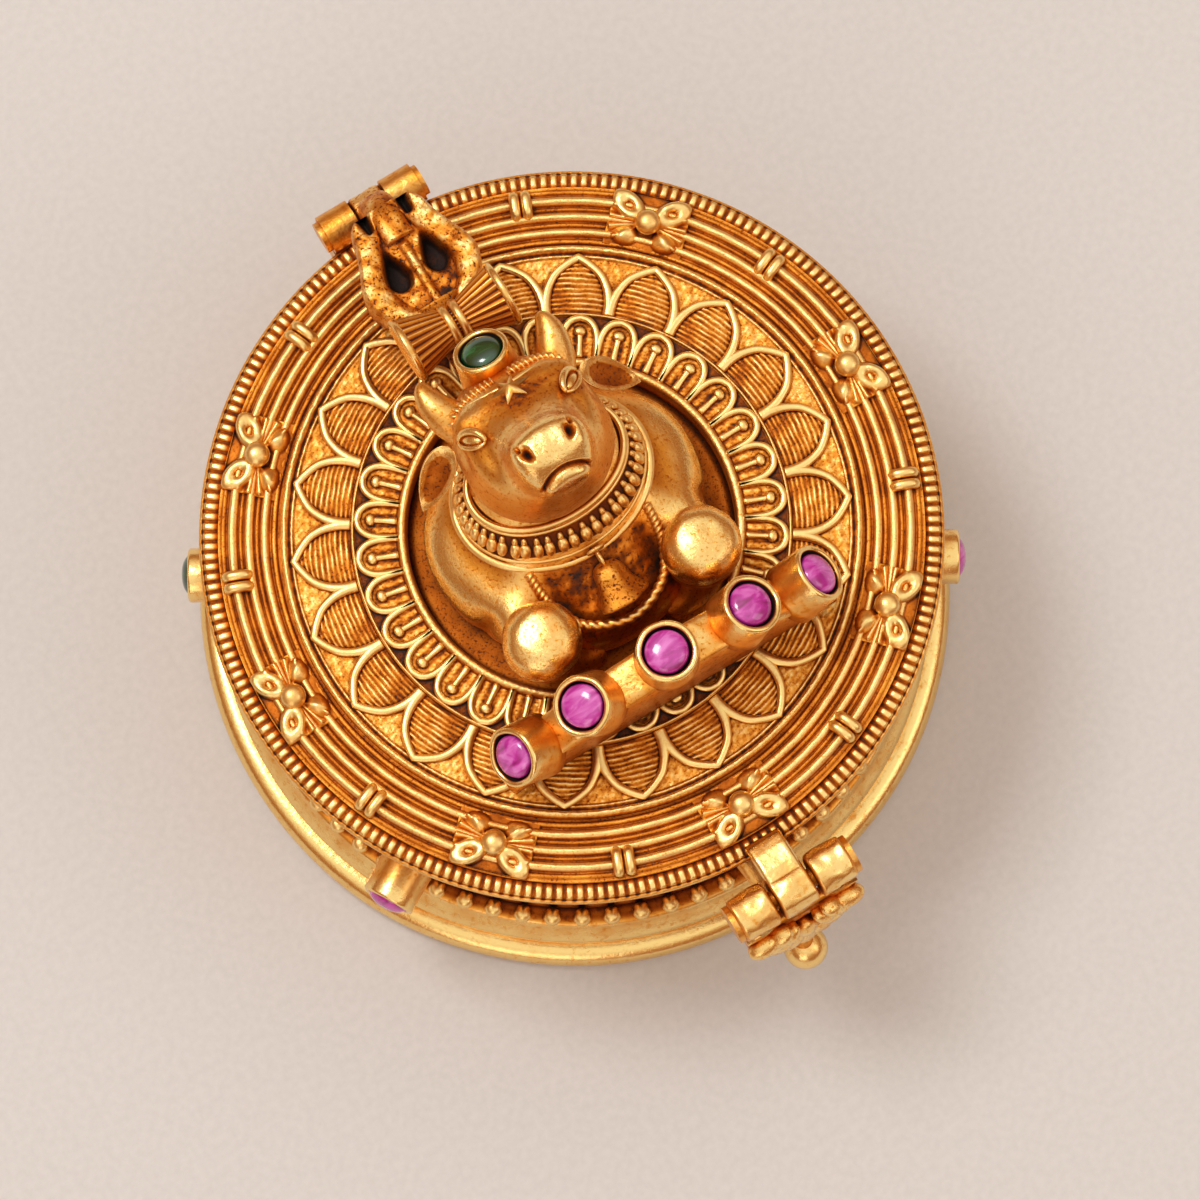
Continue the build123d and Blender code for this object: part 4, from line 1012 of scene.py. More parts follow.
class SINDOOR_OT_bull_head(Operator):
    """Head of the bull: forehead, eyes, muzzle, ears and horns."""

    bl_idname = "sindoor.bull_head"
    bl_label = "Bull head"

    def execute(self, context):
        head = level_loft(HEAD, 280, 320, HEAD_POWER)
        x, y, z = np.moveaxis(head, -1, 0)
        top = unit((z - 43.6) / 0.6)
        shape = 0.05 * ripple(x, y, z, 41, 0.8)
        # brow, eye socket, jaw, cheek hollow and the swelling round a nostril
        shape = modelled(shape, head, (((3.7, 7.3, 40.5), (1.5, 1.0, 1.0), 0.40),
                                       ((4.9, 5.9, 39.7), (1.0, 1.3, 0.8), -0.42),
                                       ((4.6, 3.0, 37.4), (1.8, 2.4, 2.0), 0.35),
                                       ((3.3, 4.2, 42.0), (0.9, 1.5, 1.1), -0.42),
                                       ((1.85, 2.4, 45.0), (0.8, 1.1, 0.9), 0.16)))
        shape += dimple(head, (0, 8.3, 41.2), (3.2, 1.2, 1.0), 0.18)
        shape += dimple(head, (0, 6.2, 42.6), (1.0, 1.0, 1.0), -0.16)
        mouth = y - (0.62 - 0.14 * x ** 2)
        line = bell(mouth, 0.15) * unit((2.35 - np.abs(x)) / 0.3)
        line = line * unit((z - 43.4) / 0.4)
        lip = bell(mouth + 0.55, 0.35) * unit((2.0 - np.abs(x)) / 0.6) * (z > 43.2)
        shape += -0.42 * line + 0.16 * lip
        nostril = np.zeros(x.shape)
        for side in (-1, 1):
            across = side * x - 1.72
            along = y - 2.62 - 0.5 * across
            hole = np.exp(-((across + 0.35 * along ** 2) / 0.30) ** 2 - (along / 0.44) ** 2)
            tail = np.exp(-((across - 0.34) / 0.16) ** 2 - ((along - 0.42) / 0.34) ** 2)
            nostril = np.maximum(nostril, np.maximum(hole, 0.6 * tail) * top)
        shape -= 0.85 * nostril
        saddle = np.exp(-((x - 0.5) / 2.3) ** 2 - ((y - 7.2) / 1.2) ** 2) * (z > 40.5)
        wear = 0.74 - 0.60 * line - 0.85 * nostril - 0.60 * saddle * (1 + 0.7 * ripple(x, y, z, 42, 0.20))
        # Painted light: the top of the head is lighter and the lower head darker, as light falls from
        # above.
        wear += 0.14 * top + 0.08 * unit((z - 40) / 2)
        wear -= 0.22 * unit((38.0 - z) / 3.5)
        # Painted shade in a ring round each eye, and a painted highlight on each brow.
        wear = modelled(wear, head, (((3.9, 6.0, 41.3), (1.0, 1.3, 1.0), -0.46),
                                     ((2.9, 8.2, 40.6), (1.5, 1.2, 1.0), 0.12)))
        dress("bull_head", shell(pushed(head, shape), wear), "lid", gold("cast"), relief=0.10, rounds=10)

        details = []
        for side in (-1, 1):
            turn = frame_matrix((side * 0.60, 0.22, 0.77), (-side * 0.80, -0.55, 0.2))
            seat = (side * 3.88, 6.05, 41.50)
            details.append(placed(ball((0, 0, 0), (0.85, 0.40, 0.34), 14, 24, 0.95), turn, seat))
            t = np.linspace(0, np.pi, 22)
            for sign, swell, width in ((side, 0.50, 0.17), (-side, 0.66, 0.28)):
                lid = joined(-1.15 * np.cos(t), sign * swell * np.sin(t) - 0.05, 0.02 + 0.26 * np.sin(t))
                details.append(placed(along_path(lid, width * (0.5 + 0.5 * np.sin(t)), 8, wear=0.85),
                                      turn, seat))
        make_piece("bull_eyes", merged(details), "lid", gold("cast"), rounds=2)

        share = np.linspace(0, 1, 44)
        path = smooth_curve([[2.9, 7.0, 37.6], [4.1, 8.6, 38.3], [4.6, 9.8, 38.7], [4.75, 10.9, 38.9],
                             [4.65, 11.8, 39.0]], 44)
        around = round_angles(28)
        bent = 0.06 * np.sin(2 * around + np.arange(44)[:, None] * 0.08)
        horn = along_path(path, 1.45 * (1 - share) ** 0.60 + 0.14, 28, twist=bent, wear=0.70)
        dress("bull_horns", both_sides(horn), "lid", gold("cast"), rounds=4)

        u = np.linspace(-1, 1, 48)[:, None]
        v = round_angles(48)
        fullness = unit(1 - u ** 2)
        half = 1.12 * np.clip(1 - u, 0, 2) ** 0.9 * np.clip(1 + u, 0, 2) ** 0.5
        face = unit(np.sin(v))
        hollow = -0.8 * (1 - np.abs(np.cos(v)) ** 4) * face * fullness * 0.7
        lift = np.sin(v) * 0.42 + hollow
        leaf = joined(u * 2.75, half * np.cos(v),
                      lift * np.clip(1 - u ** 4, 0.05, 1) + 0.25 * half * np.cos(v) ** 2)
        wear = np.where(hollow < -0.30, 0.42, 0.86) + 0.12 * ripple(u * 3, np.cos(v), 0, 43, 0.5)
        lean = frame_matrix((0.536, -0.315, 0.758), (0.65, -0.41, -0.63))
        ear = placed(shell(leaf, wear), lean, (6.9, 6.1, 35.9))
        dress("bull_ears", both_sides(ear), "lid", gold("cast"), rounds=3)

        bands = []
        for side in (-1, 1):
            across = side * np.linspace(0.55, 4.35, 90)
            for drop, width, notch in ((-0.05, 0.17, 0.0), (0.58, 0.32, 0.14)):
                level = 41.25 - 0.085 * across ** 2 - drop
                run = on_face(across, level, 0.06)
                row = np.arange(len(run))[:, None]
                around = round_angles(12)
                strokes = notch * np.cos(row * 0.75 + 2 * np.cos(around))
                bands.append(along_path(run, width, 12, twist=strokes, wear=0.88))
        reach = np.where(np.arange(12) % 2 == 0, 1.5, 0.55)
        a = np.arange(12) * TAU / 12
        star = np.stack([polar(reach * f, a, h) for f,
                         h in ((1, -0.25), (1, 0.08), (0.5, 0.28), (0.05, 0.42))])
        bands.append(placed(shell(star, 0.92), frame_matrix((0, 0.6, 0.8)),
                            on_face(np.array(0.1), np.array(41.55), 0.05)))
        dress("head_band", merged(bands), "lid", gold("wires"), rounds=2)
        return {"FINISHED"}


def neck_ring(low, high, share, count=160):
    """A point list round the neck: ellipses between the collar's low and high edge,
    each edge given as (z, centre y, half width, half depth)."""
    a = round_angles(count)[0]
    z, y, rx, ry = [lo + (hi - lo) * share for lo, hi in zip(low, high)]
    return joined(rx * np.cos(a), y + ry * np.sin(a), z)


class SINDOOR_OT_harness(Operator):
    """Collar with its drops and wires, rope and bell."""

    bl_idname = "sindoor.harness"
    bl_label = "Harness"

    def execute(self, context):
        low = (32.6, 2.5, 7.0, 5.55)
        high = (35.0, 3.2, 5.85, 4.05)
        inner = np.stack([neck_ring(low, high, share) * [0.93, 0.93, 1]
                          + [0, 0.2, 0] for share in (1, 0)])
        outer = np.stack([neck_ring(low, high, share) for share in np.linspace(0, 1, 12)])
        wear = np.concatenate([np.full(2, 0.1), np.full(12, 0.16)])[:, None]
        wires = [shell(np.concatenate([inner, outer]), wear, wrap_rows=True, caps=False)]
        for share, radius in ((-0.06, 0.34), (0.14, 0.15), (0.92, 0.14), (1.06, 0.24)):
            wires.append(along_path(neck_ring(low, high, share), radius, 12, closed=True, wear=0.86))
        make_piece("dressed_neck_collar", merged(wires), "lid", gold("wires"),
                   ["neck_collar", "collar_wire"], rounds=3)
        rng = np.random.default_rng(51)
        drops = []
        count = 46
        for k in range(count):
            a = TAU * (k + 0.5 + rng.uniform(-0.12, 0.12)) / count
            foot = np.array([low[2] * np.cos(a), low[1] + low[3] * np.sin(a), low[0]])
            head = np.array([high[2] * np.cos(a), high[1] + high[3] * np.sin(a), high[0]])
            along = (head - foot) / np.linalg.norm(head - foot)
            out = np.cross(np.array([-np.sin(a), np.cos(a), 0]), along)
            turn = frame_matrix(along, out)
            lower = ball((0.10, 0, -0.18), (0.38, 0.40 * rng.uniform(0.9, 1.1), 0.66), 6, 10, 0.88)
            upper = ball((0.05, 0, 0.52), (0.27, 0.23, 0.42), 5, 8, 0.80)
            place = foot * 0.46 + head * 0.54
            drops += [placed(lower, turn, place), placed(upper, turn, place)]
        make_piece("collar_drops", merged(drops), "lid", gold("wires"), rounds=1)
        around = round_angles(16)
        strands = 0.11 * np.abs(np.cos(around - np.arange(260)[:, None] * 0.42))
        loop = smooth_curve([[-4.7, -2.2, 32.6], [-4.6, -3.8, 32.1], [-4.2, -5.4, 31.7],
                             [-2.9, -7.2, 31.3], [0, -8.2, 31.1], [2.9, -7.2, 31.3], [4.2, -5.4, 31.7],
                             [4.6, -3.8, 32.1], [4.7, -2.2, 32.6]], 260)
        rope = along_path(loop, 0.26, 16, twist=strands, wear=0.74)
        dress("rope_necklace", rope, "lid", gold("wires"), rounds=3, relief=0.03)
        profile = smooth_curve([[0.05, 3.45], [0.9, 3.35], [1.7, 3.3], [1.85, 3.05], [1.5, 2.5],
                                [1.22, 1.7], [1.12, 1.1], [0.85, 0.55], [0.42, 0.3], [0.05, 0.2]], 60)

        def facets(r, a, z):
            dent = ripple(r * np.cos(a), r * np.sin(a), z, 52, 0.4)
            return 0.10 * r * np.cos(4 * a) * np.cos(a) + 0.05 * dent, 0
        tilt = frame_matrix((0, -0.90, -0.44), (1, 0, 0))
        parts = [placed(turned(profile[::-1], 64, shift=facets, wear=0.58), tilt, (0, -4.0, 33.2))]
        a = round_angles(24)[0]
        link = joined(0 * a, 0.55 * np.cos(a), 0.4 * np.sin(a))
        parts.append(along_path(link + [0, -3.9, 33.3], 0.14, 8, closed=True))
        parts.append(along_path(link[:, [1, 0, 2]] + [0, -3.3, 33.5], 0.13, 8, closed=True))
        dress("chest_bell", merged(parts), "lid", gold("rough"), rounds=3)
        return {"FINISHED"}


# Drum, trident and poll stone


def dome_stone(radius, girdle, height):
    """A cabochon: a short wall under a part of a sphere, with a rounded girdle."""
    t = np.linspace(0, 1, 16)
    dome = np.stack([radius * np.cos(t * np.pi / 2) ** 0.85, girdle + height * np.sin(t * np.pi / 2)],
                    axis=1)
    dome[-1, 0] = 0.02
    return turned(np.vstack([[[radius, 0.0]], dome]), 48)


def collet(radius, height, wall, flare=0.0, seed=61, depth=0.8):
    """A stone's collar: a tube with an uneven rounded lip and a closed, dark inside."""
    lip = np.linspace(0, np.pi, 9)
    middle = radius - wall / 2
    edge = np.stack([middle + wall / 2 * np.cos(lip), height - wall / 2 + wall / 2 * np.sin(lip)], axis=1)
    profile = np.vstack([[[radius + flare, 0.0]], [[radius + flare * 0.7, height * 0.25]],
                         [[radius + flare * 0.4, height * 0.5]], [[radius + flare * 0.1, height * 0.7]],
                         edge, [[radius - wall, height - depth]], [[0.05, height - depth]]])
    wear = np.concatenate([[0.3, 0.62, 0.72, 0.8], np.full(7, 0.97), [0.5, 0.2], [0.0, 0.0]])[:, None]

    def uneven(r, a, z):
        bent = ripple(np.cos(a) * radius, np.sin(a) * radius, z, seed, 1.1)
        return 0.07 * bent * (r > 0.1), 0.05 * bent * (z > height / 2) * (r > 0.1)
    return turned(profile, 64, shift=uneven, wear=wear)


class SINDOOR_OT_drum(Operator):
    """Corded drum with its two skins, and the green stone on the poll."""

    bl_idname = "sindoor.drum"
    bl_label = "Drum"

    def execute(self, context):
        low, high = node_box("drum_skins")
        drum_y, drum_z = (low[1] + high[1]) / 2, (low[2] + high[2]) / 2
        half = high[0]
        reach = half - 0.4
        x = np.linspace(-reach, reach, 60)[:, None]
        share = np.abs(x) / reach
        a = round_angles(240)
        cord = np.abs(np.cos(a * 11)) ** 0.7 * (1 - 0.35 * np.exp(-(np.cos(a * 11) / 0.98) ** 40))
        r = 0.95 + 1.10 * share ** 0.85 + 0.22 * cord * (0.35 + 0.65 * share)
        points = joined(x, drum_y + r * np.cos(a), drum_z + r * np.sin(a))
        parts = [shell(points, 0.08 + 0.84 * cord * np.ones((60, 1)))]
        ring = round_angles(48)[0]
        for place in (-0.42, 0.42):
            loop = joined(place, drum_y + 1.18 * np.cos(ring), drum_z + 1.18 * np.sin(ring))
            parts.append(along_path(loop, 0.34, 12, closed=True, wear=0.86))
        dress("drum_body", merged(parts), "lid", gold("wires"), rounds=2)
        profile = smooth_curve([[0.05, 0.30], [1.5, 0.30], [2.0, 0.42], [2.35, 0.38], [2.40, 0.1],
                                [2.2, -0.12], [1.6, -0.1], [0.05, -0.1]], 40)
        skins = [placed(turned(profile, 64, wear=0.88), frame_matrix((side, 0, 0), (0, 1, 0)),
                        (side * (half - 0.38), drum_y, drum_z)) for side in (-1, 1)]
        dress("drum_skins", merged(skins), "lid", gold("polished"), rounds=4)

        axis = np.array([0, 0.57, 0.82])
        turn = frame_matrix(axis, (1, 0, 0))
        seat = np.array([0, 11.1, 38.5])
        cup = placed(collet(1.98, 4.0, 0.42, 0.35, 62, 0.9), turn, seat - axis * 3.1)
        dress("poll_collet", cup, "lid", gold("polished"), rounds=4)
        gem = placed(dome_stone(1.46, 0.45, 0.70), turn, seat)
        dress("poll_stone", gem, "lid", stone("green"), slot="green_stone")
        return {"FINISHED"}


class SINDOOR_OT_trident(Operator):
    """Trident: a rough plate with two dark eyes, and the stem to the hinge knuckle."""

    bl_idname = "sindoor.trident"
    bl_label = "Trident"

    def execute(self, context):
        top_z = node_box("trident")[1][2] - 0.1
        start, end = 16.6, 25.3
        eye_x, eye_y = 1.50, 20.4
        notch_y = 23.8
        y = np.linspace(start, end, 110)[:, None]
        u = np.linspace(-1, 1, 121)[None, :]
        outline = smooth_curve([(start, 2.4), (17.5, 3.3), (18.4, 4.0), (19.5, 4.35), (20.7, 4.2),
                                (22.0, 3.65), (23.3, 3.15), (24.6, 2.8), (end, 2.2)], 200)
        half = np.interp(y, outline[:, 0], outline[:, 1])
        x = u * half
        side = np.abs(x)
        y = np.broadcast_to(y, x.shape)
        taper = 0.82 - 0.42 * np.clip(y - 20.3, 0, 1.9) / 1.9
        eye = np.hypot((side - eye_x) / taper, (y - eye_y) / (1.0 + 0.7 * (y > eye_y)))
        hole = 1 / (1 + np.exp((eye - 1.0) * 12))
        opening = np.abs(side - 1.55) - 0.14 - 0.16 * (y - notch_y)
        notch = unit((y - notch_y) / 0.3) / (1 + np.exp(opening * 12))
        notch = np.where(y < 23.6, 0, notch)
        bow = ridge(half - side - 0.85, 1.15, 0.90) ** 0.7 * (0.9 + 0.1 * ripple(x, y, 0, 76, 0.8))
        spine = ridge(x, 0.40 + 0.12 * np.clip(y - 21.5, 0, 2), 0.55) * unit((22.9 - y) / 0.8)
        rough = 0.10 * ripple(x, y, 0, 71, 0.45) + 0.05 * ripple(x, y, 0, 72, 0.16)
        fall = 0.25 * unit(17.6 - y) + 0.12 * np.clip(y - 23.5, 0, 3)
        raised = np.maximum(np.maximum(bow, spine), 0.22)
        z = top_z - 1.25 + raised - 1.9 * hole - 1.6 * notch + rough * (1 - hole) - fall
        edge = unit((half - side) / 0.28)
        z = z - 0.7 * (1 - edge) ** 2
        z = np.minimum(z, top_z)
        wear = 0.46 + 0.30 * bow + 0.30 * spine / 0.55 + 0.40 * ripple(x, y, 0, 73, 0.35)
        # The eyes get a dark oxidised floor; the notch between the prongs is darkened as painted shade.
        wear = np.clip(wear, 0.1, 0.95) * (1 - hole) * (1 - 0.85 * notch)
        parts = [slab(joined(x, y, z), top_z - 3.6, wear)]
        stem = smooth_curve([[0, 22.6, top_z - 1.3], [0, 24.4, top_z - 1.5], [0, 25.6, top_z - 2.6],
                             [0, 26.2, top_z - 4.4], [0, 26.3, HINGE[2] + 1.0]], 60)
        a = round_angles(36)
        square = squared(a, 3.2) - 1
        row = np.arange(60)[:, None]
        lumps = 1.15 * square + 0.08 * ripple(np.cos(a) * 2, np.sin(a) * 2, row * 0.12, 74, 0.6)
        tail = along_path(stem, 1.12, 36, twist=lumps, flat=0.85,
                          wear=0.62 + 0.34 * ripple(np.cos(a) * 2, row * 0.15, 0, 75, 0.4))
        neck = along_path(smooth_curve([[0, 14.4, top_z - 0.9], [0, 16.2, top_z - 1.3],
                                        [0, 17.6, top_z - 1.2]], 20), np.linspace(1.0, 1.9, 20), 24,
                                        flat=0.5, wear=0.45)
        brace = along_path([[0, 9.6, top_z - 1.6], [0, 12.0, top_z - 1.8], [0, 14.0, top_z - 1.9]], 1.5,
                           24, flat=0.5, wear=0.2)
        parts += [tail, neck, brace]
        dress("trident", merged(parts), "lid", gold("rough"), rounds=3)
        return {"FINISHED"}


# Crest and side stones


class SINDOOR_OT_crest(Operator):
    """Arched crest plate with its five collets and red stones."""

    bl_idname = "sindoor.crest"
    bl_label = "Crest"

    def execute(self, context):
        low, high = node_box("crest_plate")
        radius = 14.0
        stone_step = 24.35  # degrees
        centre_z = high[2] - radius
        foot = low[2]
        reach = np.arccos((foot - centre_z) / radius)
        t = np.linspace(-reach, reach, 200)[:, None]
        edge = np.linspace(0, 1, 26)[None, :]
        y = low[1] + (high[1] - low[1]) * (0.5 - 0.5 * np.cos(edge * np.pi))
        lump = 0.09 * ripple(np.sin(t) * radius, y, np.cos(t) * radius, 81, 0.9) - 0.09
        rho = radius - 0.25 * np.abs(np.cos(edge * np.pi)) ** 6 + lump
        x = np.sin(t) * rho
        z = np.maximum(centre_z + np.cos(t) * rho, foot)
        top = joined(x, y, z)
        wear = unit(0.76 + 0.14 * ripple(x, y, z, 82, 0.8) - 0.18 * (edge < 0.1))
        plate = slab(top, foot - 0.05, wear)
        dress("crest_plate", plate, "lid", gold("cast"), rounds=4)
        cups, gems = [], []
        middle = np.array([0, (low[1] + high[1]) / 2, centre_z])
        for k in range(5):
            angle = np.radians(stone_step * (k - 2))
            out = np.array([np.sin(angle), 0, np.cos(angle)])
            turn = frame_matrix(out, (0, 1, 0)) @ turn_z(37 * k)
            cups.append(placed(collet(2.12, 3.2, 0.44, 0.12, 63 + k), turn,
                               middle + out * (radius - 0.8)))
            gems.append(placed(dome_stone(1.50, 0.55, 0.62), turn, middle + out * (radius + 1.55)))
        dress("crest_collets", merged(cups), "lid", gold("polished"), rounds=4)
        dress("crest_rubies", merged(gems), "lid", stone("ruby"), slot="ruby")
        return {"FINISHED"}


class SINDOOR_OT_side_stones(Operator):
    """Four collets round the wall, two with red and two with green stones."""

    bl_idname = "sindoor.side_stones"
    bl_label = "Side stones"

    def execute(self, context):
        cups, reds, greens = [], [], []
        low, high = node_box("side_collets")
        height = (low[2] + high[2]) / 2
        for angle in (-30, 30, 150, 210):
            out = np.array([np.cos(np.radians(angle)), np.sin(np.radians(angle)), 0])
            turn = frame_matrix(out, (0, 0, 1))
            cups.append(placed(collet(1.95, 4.0, 0.45, 0.05, 90 + angle), turn,
                               out * (WALL_RADIUS - 0.4) + [0, 0, height]))
            gem = placed(dome_stone(1.5, 0.5, 0.8), turn, out * (WALL_RADIUS + 2.8) + [0, 0, height])
            (greens if 0 < angle < 180 else reds).append(gem)
        dress("side_collets", merged(cups), "box", gold("polished"), rounds=4)
        dress("side_rubies", merged(reds), "box", stone("ruby"), slot="ruby")
        dress("side_greens", merged(greens), "box", stone("green"), slot="green_stone")
        return {"FINISHED"}


# Hinge and hasp


def barrel(start, end, centre, radius, seed, power=2.6):
    """A knuckle rolled from strip: a tube along X whose section is a superellipse,
    with softened ends and a hammered, uneven skin."""
    soft = 0.28
    inset = np.linspace(0, 1, 6)
    bevel = soft * (1 - np.sqrt(1 - (1 - inset) ** 2))
    x = np.concatenate([[start], start + soft * inset, np.linspace(start + soft, end - soft, 14)[1:-1],
                        end - soft * inset[::-1], [end]])
    shrink = np.concatenate([[radius - 0.02], bevel, np.zeros(12), bevel[::-1], [radius - 0.02]])
    a = round_angles(72)
    section = np.minimum(squared(a, power), 1.12)
    r = (radius - shrink[:, None]) * section
    r = r * (0.945 + 0.055 * ripple(x[:, None], np.cos(a) * radius, np.sin(a) * radius, seed, 0.6))
    y = np.clip(centre[1] + r * np.cos(a), centre[1] - radius, centre[1] + radius)
    z = np.clip(centre[2] + r * np.sin(a), centre[2] - radius, centre[2] + radius)
    ends = np.concatenate([[0.2], 0.5 + 0.4 * inset, np.full(12, 0.9), 0.5 + 0.4 * inset[::-1], [0.2]])
    return shell(joined(x[:, None], y, z), ends[:, None])


class SINDOOR_OT_hinge(Operator):
    """Finish of the hinge at the back: leaf, knuckles and pin."""

    bl_idname = "sindoor.hinge"
    bl_label = "Hinge"

    def execute(self, context):
        for node in ("hinge_leaf", "hinge_pin", "catch_lug"):
            finish_node(node, "worn")
        low, high = node_box("lid_knuckle")
        knuckle = barrel(low[0], high[0], HINGE, high[2] - HINGE[2], 101, 2.0)
        y = np.linspace(low[1], HINGE[1], 12)[:, None]
        x = np.linspace(low[0] + 0.02, high[0] - 0.02, 16)[None, :]
        z = RIM_TOP + 0.75 + 0.05 * ripple(x, y, 0, 102, 0.5)
        strap = slab(joined(x, y, z), RIM_TOP, 0.7 + 0 * z)
        dress("lid_knuckle", merged([knuckle, strap]), "lid", gold("rough"), rounds=3)
        return {"FINISHED"}


# Lobes of the hasp's leaf: place across, height, lean in degrees, size
LEAF_LOBES = ((0, 15.6, 0, 1.15), (1.0, 16.6, 24, 1.05), (1.8, 18.0, 46, 1.0), (2.5, 19.6, 66, 0.9),
              (1.3, 20.0, 30, 0.8), (0, 18.6, 0, 1.0), (3.2, 21.0, 80, 0.75), (1.9, 21.4, 50, 0.7))


class SINDOOR_OT_hasp(Operator):
    """Front knuckle with its strap, and the hasp with its carved leaf and ball."""

    bl_idname = "sindoor.hasp"
    bl_label = "Hasp"

    def execute(self, context):
        low, high = node_box("clasp_knuckle")
        radius = high[2] - CLASP[2]
        knuckle = barrel(low[0], high[0], CLASP, radius, 103)
        start = CLASP[1] + 0.9
        y = np.linspace(start, high[1], 24)[:, None]
        x = np.linspace(low[0] + 0.02, high[0] - 0.02, 24)[None, :]
        fall = np.interp(y, [start, -27.4, -26.2, -25.5, high[1]],
                         [high[2] - 0.25, 25.95, 25.75, 25.5, 25.15])
        round_off = 0.25 * unit((np.abs(x) - high[0] + 0.35) / 0.35) ** 2
        z = fall - round_off + 0.04 * ripple(x, y, 0, 104, 0.7)
        strap = slab(joined(x, y, z), RIM_TOP, np.full(z.shape, 0.86))
        dress("clasp_knuckle", merged([knuckle, strap]), "lid", gold("polished"), rounds=3)

        flap_low, flap_high = node_box("hasp_flap")
        gap = 0.3
        knuckle = barrel(high[0] + gap, flap_high[0], CLASP, radius, 105)
        parts = [both_sides(knuckle)]
        z = np.linspace(flap_low[2], CLASP[2] - radius - 0.35, 60)[:, None]
        u = np.linspace(-1, 1, 60)[None, :]
        depth = z[-1, 0] - z
        half = 4.3 * unit(1 - (depth / (depth[0, 0] * 1.12)) ** 2.4) ** 0.6 + 0.12
        x = u * half
        scallop = 0.5 + 0.5 * np.cos(TAU * (depth / 2.6 + 0.9 * np.abs(u)))
        y = flap_low[1] + 0.25 - 0.18 * scallop + 0.075 * ripple(x, z, 0, 106, 0.9)
        face = joined(x, y, z)
        back = face[:, ::-1] + [0, 0.9, 0]
        plate = shell(np.concatenate([face, back], axis=1),
                      np.concatenate([0.45 + 0.4 * scallop, 0.5 + 0 * scallop], axis=1))
        arms = along_path([[3.0, CLASP[1] - 0.6, CLASP[2] - 0.8], [3.0, -30.2, 22.3],
                           [3.0, -30.2, 20.5]], 1.05, 20, flat=0.6, wear=0.7)
        parts += [plate, both_sides(arms)]
        dress("hasp_flap", merged(parts), "hasp", gold("polished"), rounds=3)

        lobes = []
        outer = flap_low[1]
        for lobe_x, lobe_z, lean, size in LEAF_LOBES:
            c, n = np.cos(np.radians(lean)), np.sin(np.radians(lean))
            turn = np.array([[c, 0, -n], [0, 1, 0], [n, 0, c]])
            lobe = ball((0, 0, -0.3), (0.90 * size, 0.80, 1.50 * size), 12, 20, 0.82)
            crinkle = ripple(*lobe[0].T, int(107 + lobe_z * 3), 0.5)
            crinkled = lobe[0] * (1 + 0.10 * crinkle)[:, None]
            part = placed((crinkled, lobe[1], lobe[2]), turn, (lobe_x, outer - 0.35, lobe_z))
            lobes.append(both_sides(part) if lobe_x else part)
        dress("hasp_leaf", merged(lobes), "hasp", gold("cast"), rounds=3)
        low, high = node_box("hasp_ball")
        r = (high[0] - low[0]) / 2
        centre = np.array([0, low[1] + r, low[2] + r])
        neck = along_path(smooth_curve([centre + [0, 0.2, 0.8], centre + [0, 0.6, 1.9],
                                        [0, outer + 0.4, 13.2]], 16), np.linspace(0.75, 0.6, 16), 16,
                                        wear=0.6)
        dress("hasp_ball", merged([ball(centre, (r, r, r), 26, 40, 0.9), neck]), "hasp",
              gold("polished"), rounds=3)
        finish_node("hasp_pin", "worn")
        return {"FINISHED"}


# Stage

CAMERA_AZIMUTH = -29.18
CAMERA_ELEVATION = 79.99
CAMERA_ROLL = -2.19
CAMERA_TARGET = np.array([-0.80, -5.11, 25.0])
CAMERA_DISTANCE = 416.5
# Lamps: direction along the camera's right, up and forward, distance and size in m, watts
LAMPS = (("key_softbox", (-0.45, 0.42, -1.0), 0.9, 0.28, 3.0),
         ("fill_softbox", (0.9, -0.1, -0.7), 1.0, 0.5, 0.8),
         ("front_softbox", (-0.2, -1.0, -0.6), 1.0, 0.5, 1.0))
WEAVE_WIDTH = 0.6
LIT_POINT = (0, 0, 0.03)  # that the lamps face, in m


def camera_axes():
    """Right, up and forward of the photograph's camera, from its three angles."""
    az, el, roll = np.radians([CAMERA_AZIMUTH, CAMERA_ELEVATION, CAMERA_ROLL])
    forward = np.array([-np.sin(az) * np.cos(el), np.cos(az) * np.cos(el), -np.sin(el)])
    right = np.cross(forward, [0, 0, 1])
    right /= np.linalg.norm(right)
    up = np.cross(right, forward)
    return (np.cos(roll) * right + np.sin(roll) * up, np.cos(roll) * up - np.sin(roll) * right, forward)


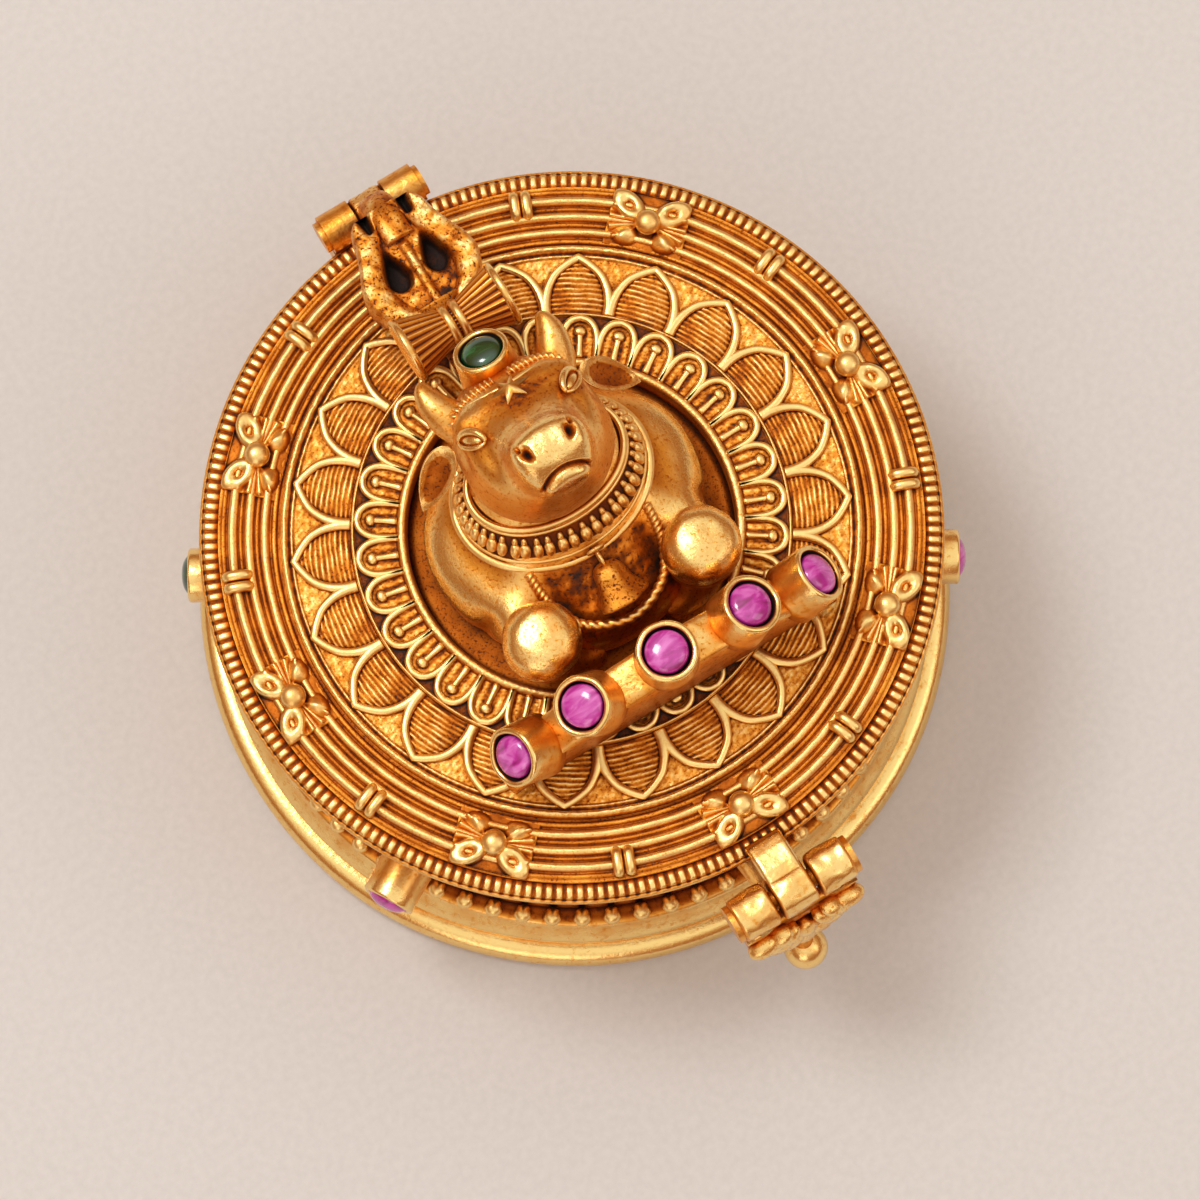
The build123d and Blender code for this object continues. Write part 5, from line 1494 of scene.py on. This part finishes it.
class SINDOOR_OT_stage(Operator):
    """Pale cloth floor, soft lamps and the camera at the photograph's angle."""

    bl_idname = "sindoor.stage"
    bl_label = "Stage"

    def execute(self, context):
        right, up, forward = camera_axes()
        scene = context.scene
        bpy.ops.mesh.primitive_plane_add(size=3.0)
        floor = context.object
        floor.name = "table_cloth"
        material, tree, shader = new_material("plain_linen")
        place = add_node(tree, "ShaderNodeTexCoord").outputs["Object"]
        colour = add_node(tree, "ShaderNodeValToRGB", {},
                          {"Fac": noise(tree, place, WEAVE_WIDTH, Detail=2.0)})
        set_ramp(colour, ((0.3, "#CECBCA"), (0.7, scene.sindoor_box.linen)))
        tree.links.new(colour.outputs["Color"], shader.inputs["Base Color"])
        shader.inputs["Roughness"].default_value = 0.9
        floor.data.materials.append(material)
        middle = Vector(LIT_POINT)
        for name, (across, rise, ahead), distance, size, power in LAMPS:
            data = bpy.data.lights.new(name, "AREA")
            data.size = size
            data.energy = power
            light = bpy.data.objects.new(name, data)
            spot = Vector(across * right + rise * up + ahead * forward).normalized() * distance + middle
            light.location = spot
            light.rotation_euler = (middle - spot).to_track_quat("-Z", "Y").to_euler()
            scene.collection.objects.link(light)
        world = bpy.data.worlds.new("soft_room")
        world.use_nodes = True
        nodes = world.node_tree
        direction = add_node(nodes, "ShaderNodeTexCoord").outputs["Generated"]
        height = add_node(nodes, "ShaderNodeSeparateXYZ", {}, {"Vector": direction}).outputs["Z"]
        sky = add_node(nodes, "ShaderNodeValToRGB", {}, {"Fac": height})
        set_ramp(sky, ((0.0, "#8F5226"), (0.45, "#BC8A5C"), (0.80, "#FFFAF0")))
        nodes.links.new(sky.outputs["Color"], nodes.nodes["Background"].inputs["Color"])
        nodes.nodes["Background"].inputs["Strength"].default_value = 1.0
        scene.world = world
        data = bpy.data.cameras.new("photo_camera")
        for key, value in (("sensor_width", 36.0), ("lens", 180.0), ("clip_start", 0.01),
                           ("clip_end", 10.0)):
            setattr(data, key, value)
        camera = bpy.data.objects.new("photo_camera", data)
        axes = np.stack([right, up, -forward], axis=1)
        camera.matrix_world = Matrix([[*map(float, row), 0] for row in axes] + [[0, 0, 0, 1]])
        camera.location = (CAMERA_TARGET - forward * CAMERA_DISTANCE) * MM
        scene.collection.objects.link(camera)
        scene.camera = camera
        scene.view_settings.view_transform = "Standard"
        return {"FINISHED"}


OPERATORS = (SINDOOR_OT_foot, SINDOOR_OT_wall, SINDOOR_OT_rim, SINDOOR_OT_ridged_band,
             SINDOOR_OT_petal_band, SINDOOR_OT_arch_band, SINDOOR_OT_band_ornaments,
             SINDOOR_OT_bull_body, SINDOOR_OT_bull_head, SINDOOR_OT_harness, SINDOOR_OT_drum,
             SINDOOR_OT_trident, SINDOOR_OT_crest, SINDOOR_OT_side_stones, SINDOOR_OT_hinge,
             SINDOOR_OT_hasp, SINDOOR_OT_stage)


class SINDOOR_PT_panel(Panel):
    """Lists the box's sizes, colours and pieces in the sidebar."""

    bl_idname = "SINDOOR_PT_panel"
    bl_label = "Sindoor box"
    bl_space_type = "VIEW_3D"
    bl_region_type = "UI"
    bl_category = "Sindoor box"

    def draw(self, context):
        for key in SindoorBoxSettings.__annotations__:
            self.layout.prop(context.scene.sindoor_box, key)
        for operator in OPERATORS:
            self.layout.operator(operator.bl_idname)


def register():
    """Registers the settings, the operators and the panel."""
    bpy.utils.register_class(SindoorBoxSettings)
    bpy.types.Scene.sindoor_box = PointerProperty(type=SindoorBoxSettings)
    for cls in (*OPERATORS, SINDOOR_PT_panel):
        bpy.utils.register_class(cls)


def unregister():
    """Takes out what register put in, in the other order."""
    for cls in (SINDOOR_PT_panel, *reversed(OPERATORS)):
        bpy.utils.unregister_class(cls)
    del bpy.types.Scene.sindoor_box
    bpy.utils.unregister_class(SindoorBoxSettings)


def main():
    """Builds every piece and the stage."""
    register()
    for operator in OPERATORS:
        getattr(bpy.ops.sindoor, operator.bl_idname.split(".")[1])()


if __name__ == "__main__":
    main()
